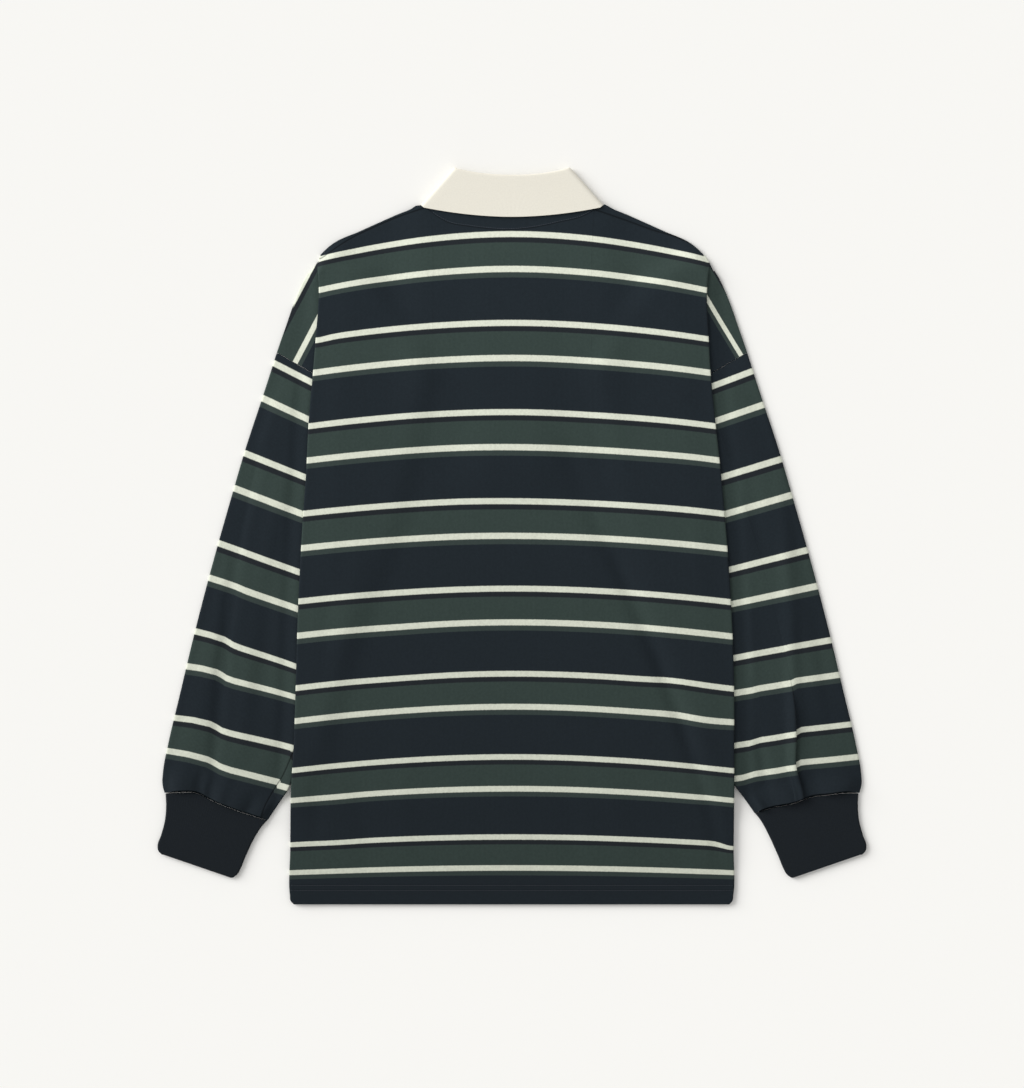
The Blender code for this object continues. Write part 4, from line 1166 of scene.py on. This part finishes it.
def sew(name, lines, thread, pitch=STITCH["pitch"], length=STITCH["length"],
        thick=STITCH["thick"]):
    """Stitches along lines of points in millimetres, as one piece."""
    mesh = bpy.data.meshes.new(name)
    points, edges = [], []
    for line in lines:
        edges += [(len(points) + i, len(points) + i + 1) for i in range(len(line) - 1)]
        points += [(x * MM, (y - MIDDLE_Y) * MM, z * MM) for x, y, z in line]
    mesh.from_pydata(points, edges, [])
    guide = bpy.data.objects.new(name + "_guide", mesh)
    bpy.context.collection.objects.link(guide)
    sewing = guide.modifiers.new("stitches", 'NODES')
    sewing.node_group = stitch_tree
    sockets = {item.name: item.identifier for item in stitch_tree.interface.items_tree
               if item.in_out == 'INPUT'}
    for label, value in (("Pitch", pitch * MM), ("Length", length * MM), ("Thickness", thick * MM),
                         ("Thread", THREADS[thread])):
        sewing[sockets[label]] = value
    bpy.context.view_layer.update()
    made = bpy.data.meshes.new_from_object(
        guide.evaluated_get(bpy.context.evaluated_depsgraph_get()))
    bpy.data.objects.remove(guide)
    made.shade_smooth()
    piece = bpy.data.objects.new(name, made)
    bpy.context.collection.objects.link(piece)
    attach(piece, "root")
    return piece


def surface_of(piece):
    mesh = piece.data
    return BVHTree.FromPolygons([v.co for v in mesh.vertices], [p.vertices for p in mesh.polygons])


def lay(surface, places, from_above, sink=0.06):
    """Heights of a line of places on a surface, seen from above or from below."""
    line = []
    for x, y in places:
        start = Vector((x * MM, (y - MIDDLE_Y) * MM, 0.05 if from_above else -0.05))
        hit = surface.ray_cast(start, Vector((0, 0, -1 if from_above else 1)))[0]
        if hit is not None:
            line.append((x, y, hit.z / MM + (-sink if from_above else sink)))
    return line


back_surface, front_surface = surface_of(back), surface_of(front)
hem_lines, front_lines = [], []
for height in HEM_STITCHES:
    across = [(x, height) for x in np.linspace(-231.0, 231.0, 150)]
    hem_lines.append(lay(back_surface, across, True))
    front_lines.append(lay(front_surface, across, False))
sew("hem_stitches_back", hem_lines, "navy_thread")
sew("hem_stitches_front", front_lines, "navy_thread")

neck = [(x, smooth(NECK_LINE, "x", "y", x) + 1.3) for x in np.linspace(-82.0, 84.0, 90)]
sew("neck_stitches", [lay(back_surface, neck, True)], "navy_thread",
    pitch=2.4, length=1.9, thick=0.5)

upper_surface = surface_of(plackets[0])
edge_x, end_y = PLACKET_HALF - 2.2, SLOT_END_Y + 2.4
box_y = end_y + 2 * edge_x
sides = [[(x, y) for y in np.linspace(PLACKET_TOP - 1, end_y, 60)] for x in (-edge_x, edge_x)]
bars = [[(x, y) for x in np.linspace(-edge_x, edge_x, 16)] for y in (end_y, box_y)]
crosses = [[(t * edge_x * way, lerp(end_y, box_y, (t + 1) / 2)) for t in np.linspace(-1, 1, 20)]
           for way in (-1, 1)]
sew("placket_stitches", [lay(upper_surface, line, False) for line in sides + bars + crosses],
    "pale_thread", pitch=2.6, length=2.0)

BUTTONHOLE = dict(length=14.5, width=2.2, pitch=0.42)
holes = []
for place in BUTTON_PLACES:
    for row in (-1, 1):
        x = row * BUTTONHOLE["width"] / 2
        ends = (place - BUTTONHOLE["length"] / 2, place + BUTTONHOLE["length"] / 2)
        holes.append(lay(upper_surface, [(x, y) for y in np.linspace(*ends, 30)], False, 0.15))
for n, line in enumerate(holes):
    bars = []
    steps = int(BUTTONHOLE["length"] / BUTTONHOLE["pitch"])
    for k in range(steps):
        x, y, z = line[min(int(k / steps * len(line)), len(line) - 1)]
        y = lerp(line[0][1], line[-1][1], k / (steps - 1))
        bars.append([(x - 0.7, y, z), (x + 0.7, y, z)])
    holes[n] = bars
sew("buttonhole_stitches", [bar for bars in holes for bar in bars], "pale_thread",
    pitch=1.0, length=1.1, thick=0.36)

crossings = []
for place in BUTTON_PLACES:
    for way in (-1, 1):
        for shift in (-0.22, 0.22):
            crossings.append([(BUTTON_HOLE_PLACE * k + shift,
                               place + BUTTON_HOLE_PLACE * k * way - shift * way,
                               0.45 - 0.25 * (1 - abs(k))) for k in np.linspace(-1, 1, 9)])
sew("button_threads", crossings, "pale_thread", pitch=0.55, length=0.8,
    thick=0.34)


# Floor, lights and camera
# A pale floor, a large soft sun low from the upper left with an even surround, and a camera
# straight above.
FLOOR = (0.925, 0.917, 0.888)
SURROUND = 0.60
KEY_LIGHT = 2.75
KEY_FROM = (-1.5, 0.75, 0.9)
CAMERA_HEIGHT = 4.2
VIEW_LENGTH = 1.1424
CAMERA_Y = -0.0089

floor_mesh = bpy.data.meshes.new("floor")
floor_mesh.from_pydata([(-6, -6, 0), (6, -6, 0), (6, 6, 0), (-6, 6, 0)], [], [(0, 1, 2, 3)])
floor = bpy.data.objects.new("floor", floor_mesh)
floor.location.z = -0.0004
bpy.context.collection.objects.link(floor)
floor_finish, _, floor_shader = plain_material("floor_paper", FLOOR, 0.9)
floor_shader.inputs["Specular IOR Level"].default_value = 0.1
floor_mesh.materials.append(floor_finish)

world = bpy.data.worlds.new("surround")
world.use_nodes = True
world.node_tree.nodes["Background"].inputs["Color"].default_value = (1.0, 1.0, 1.0, 1)
world.node_tree.nodes["Background"].inputs["Strength"].default_value = SURROUND
bpy.context.scene.world = world

key_data = bpy.data.lights.new("key", 'SUN')
key_data.angle = math.radians(40.0)
key_data.energy = KEY_LIGHT
key = bpy.data.objects.new("key", key_data)
key.rotation_euler = Vector(KEY_FROM).to_track_quat('Z', 'Y').to_euler()
bpy.context.collection.objects.link(key)

camera_data = bpy.data.cameras.new("camera")
camera_data.sensor_width = 36.0
camera_data.lens = 36.0 * CAMERA_HEIGHT / VIEW_LENGTH
camera = bpy.data.objects.new("camera", camera_data)
camera.location = (0.0, CAMERA_Y, CAMERA_HEIGHT)
bpy.context.collection.objects.link(camera)
bpy.context.scene.camera = camera
bpy.context.scene.view_settings.view_transform = 'Standard'
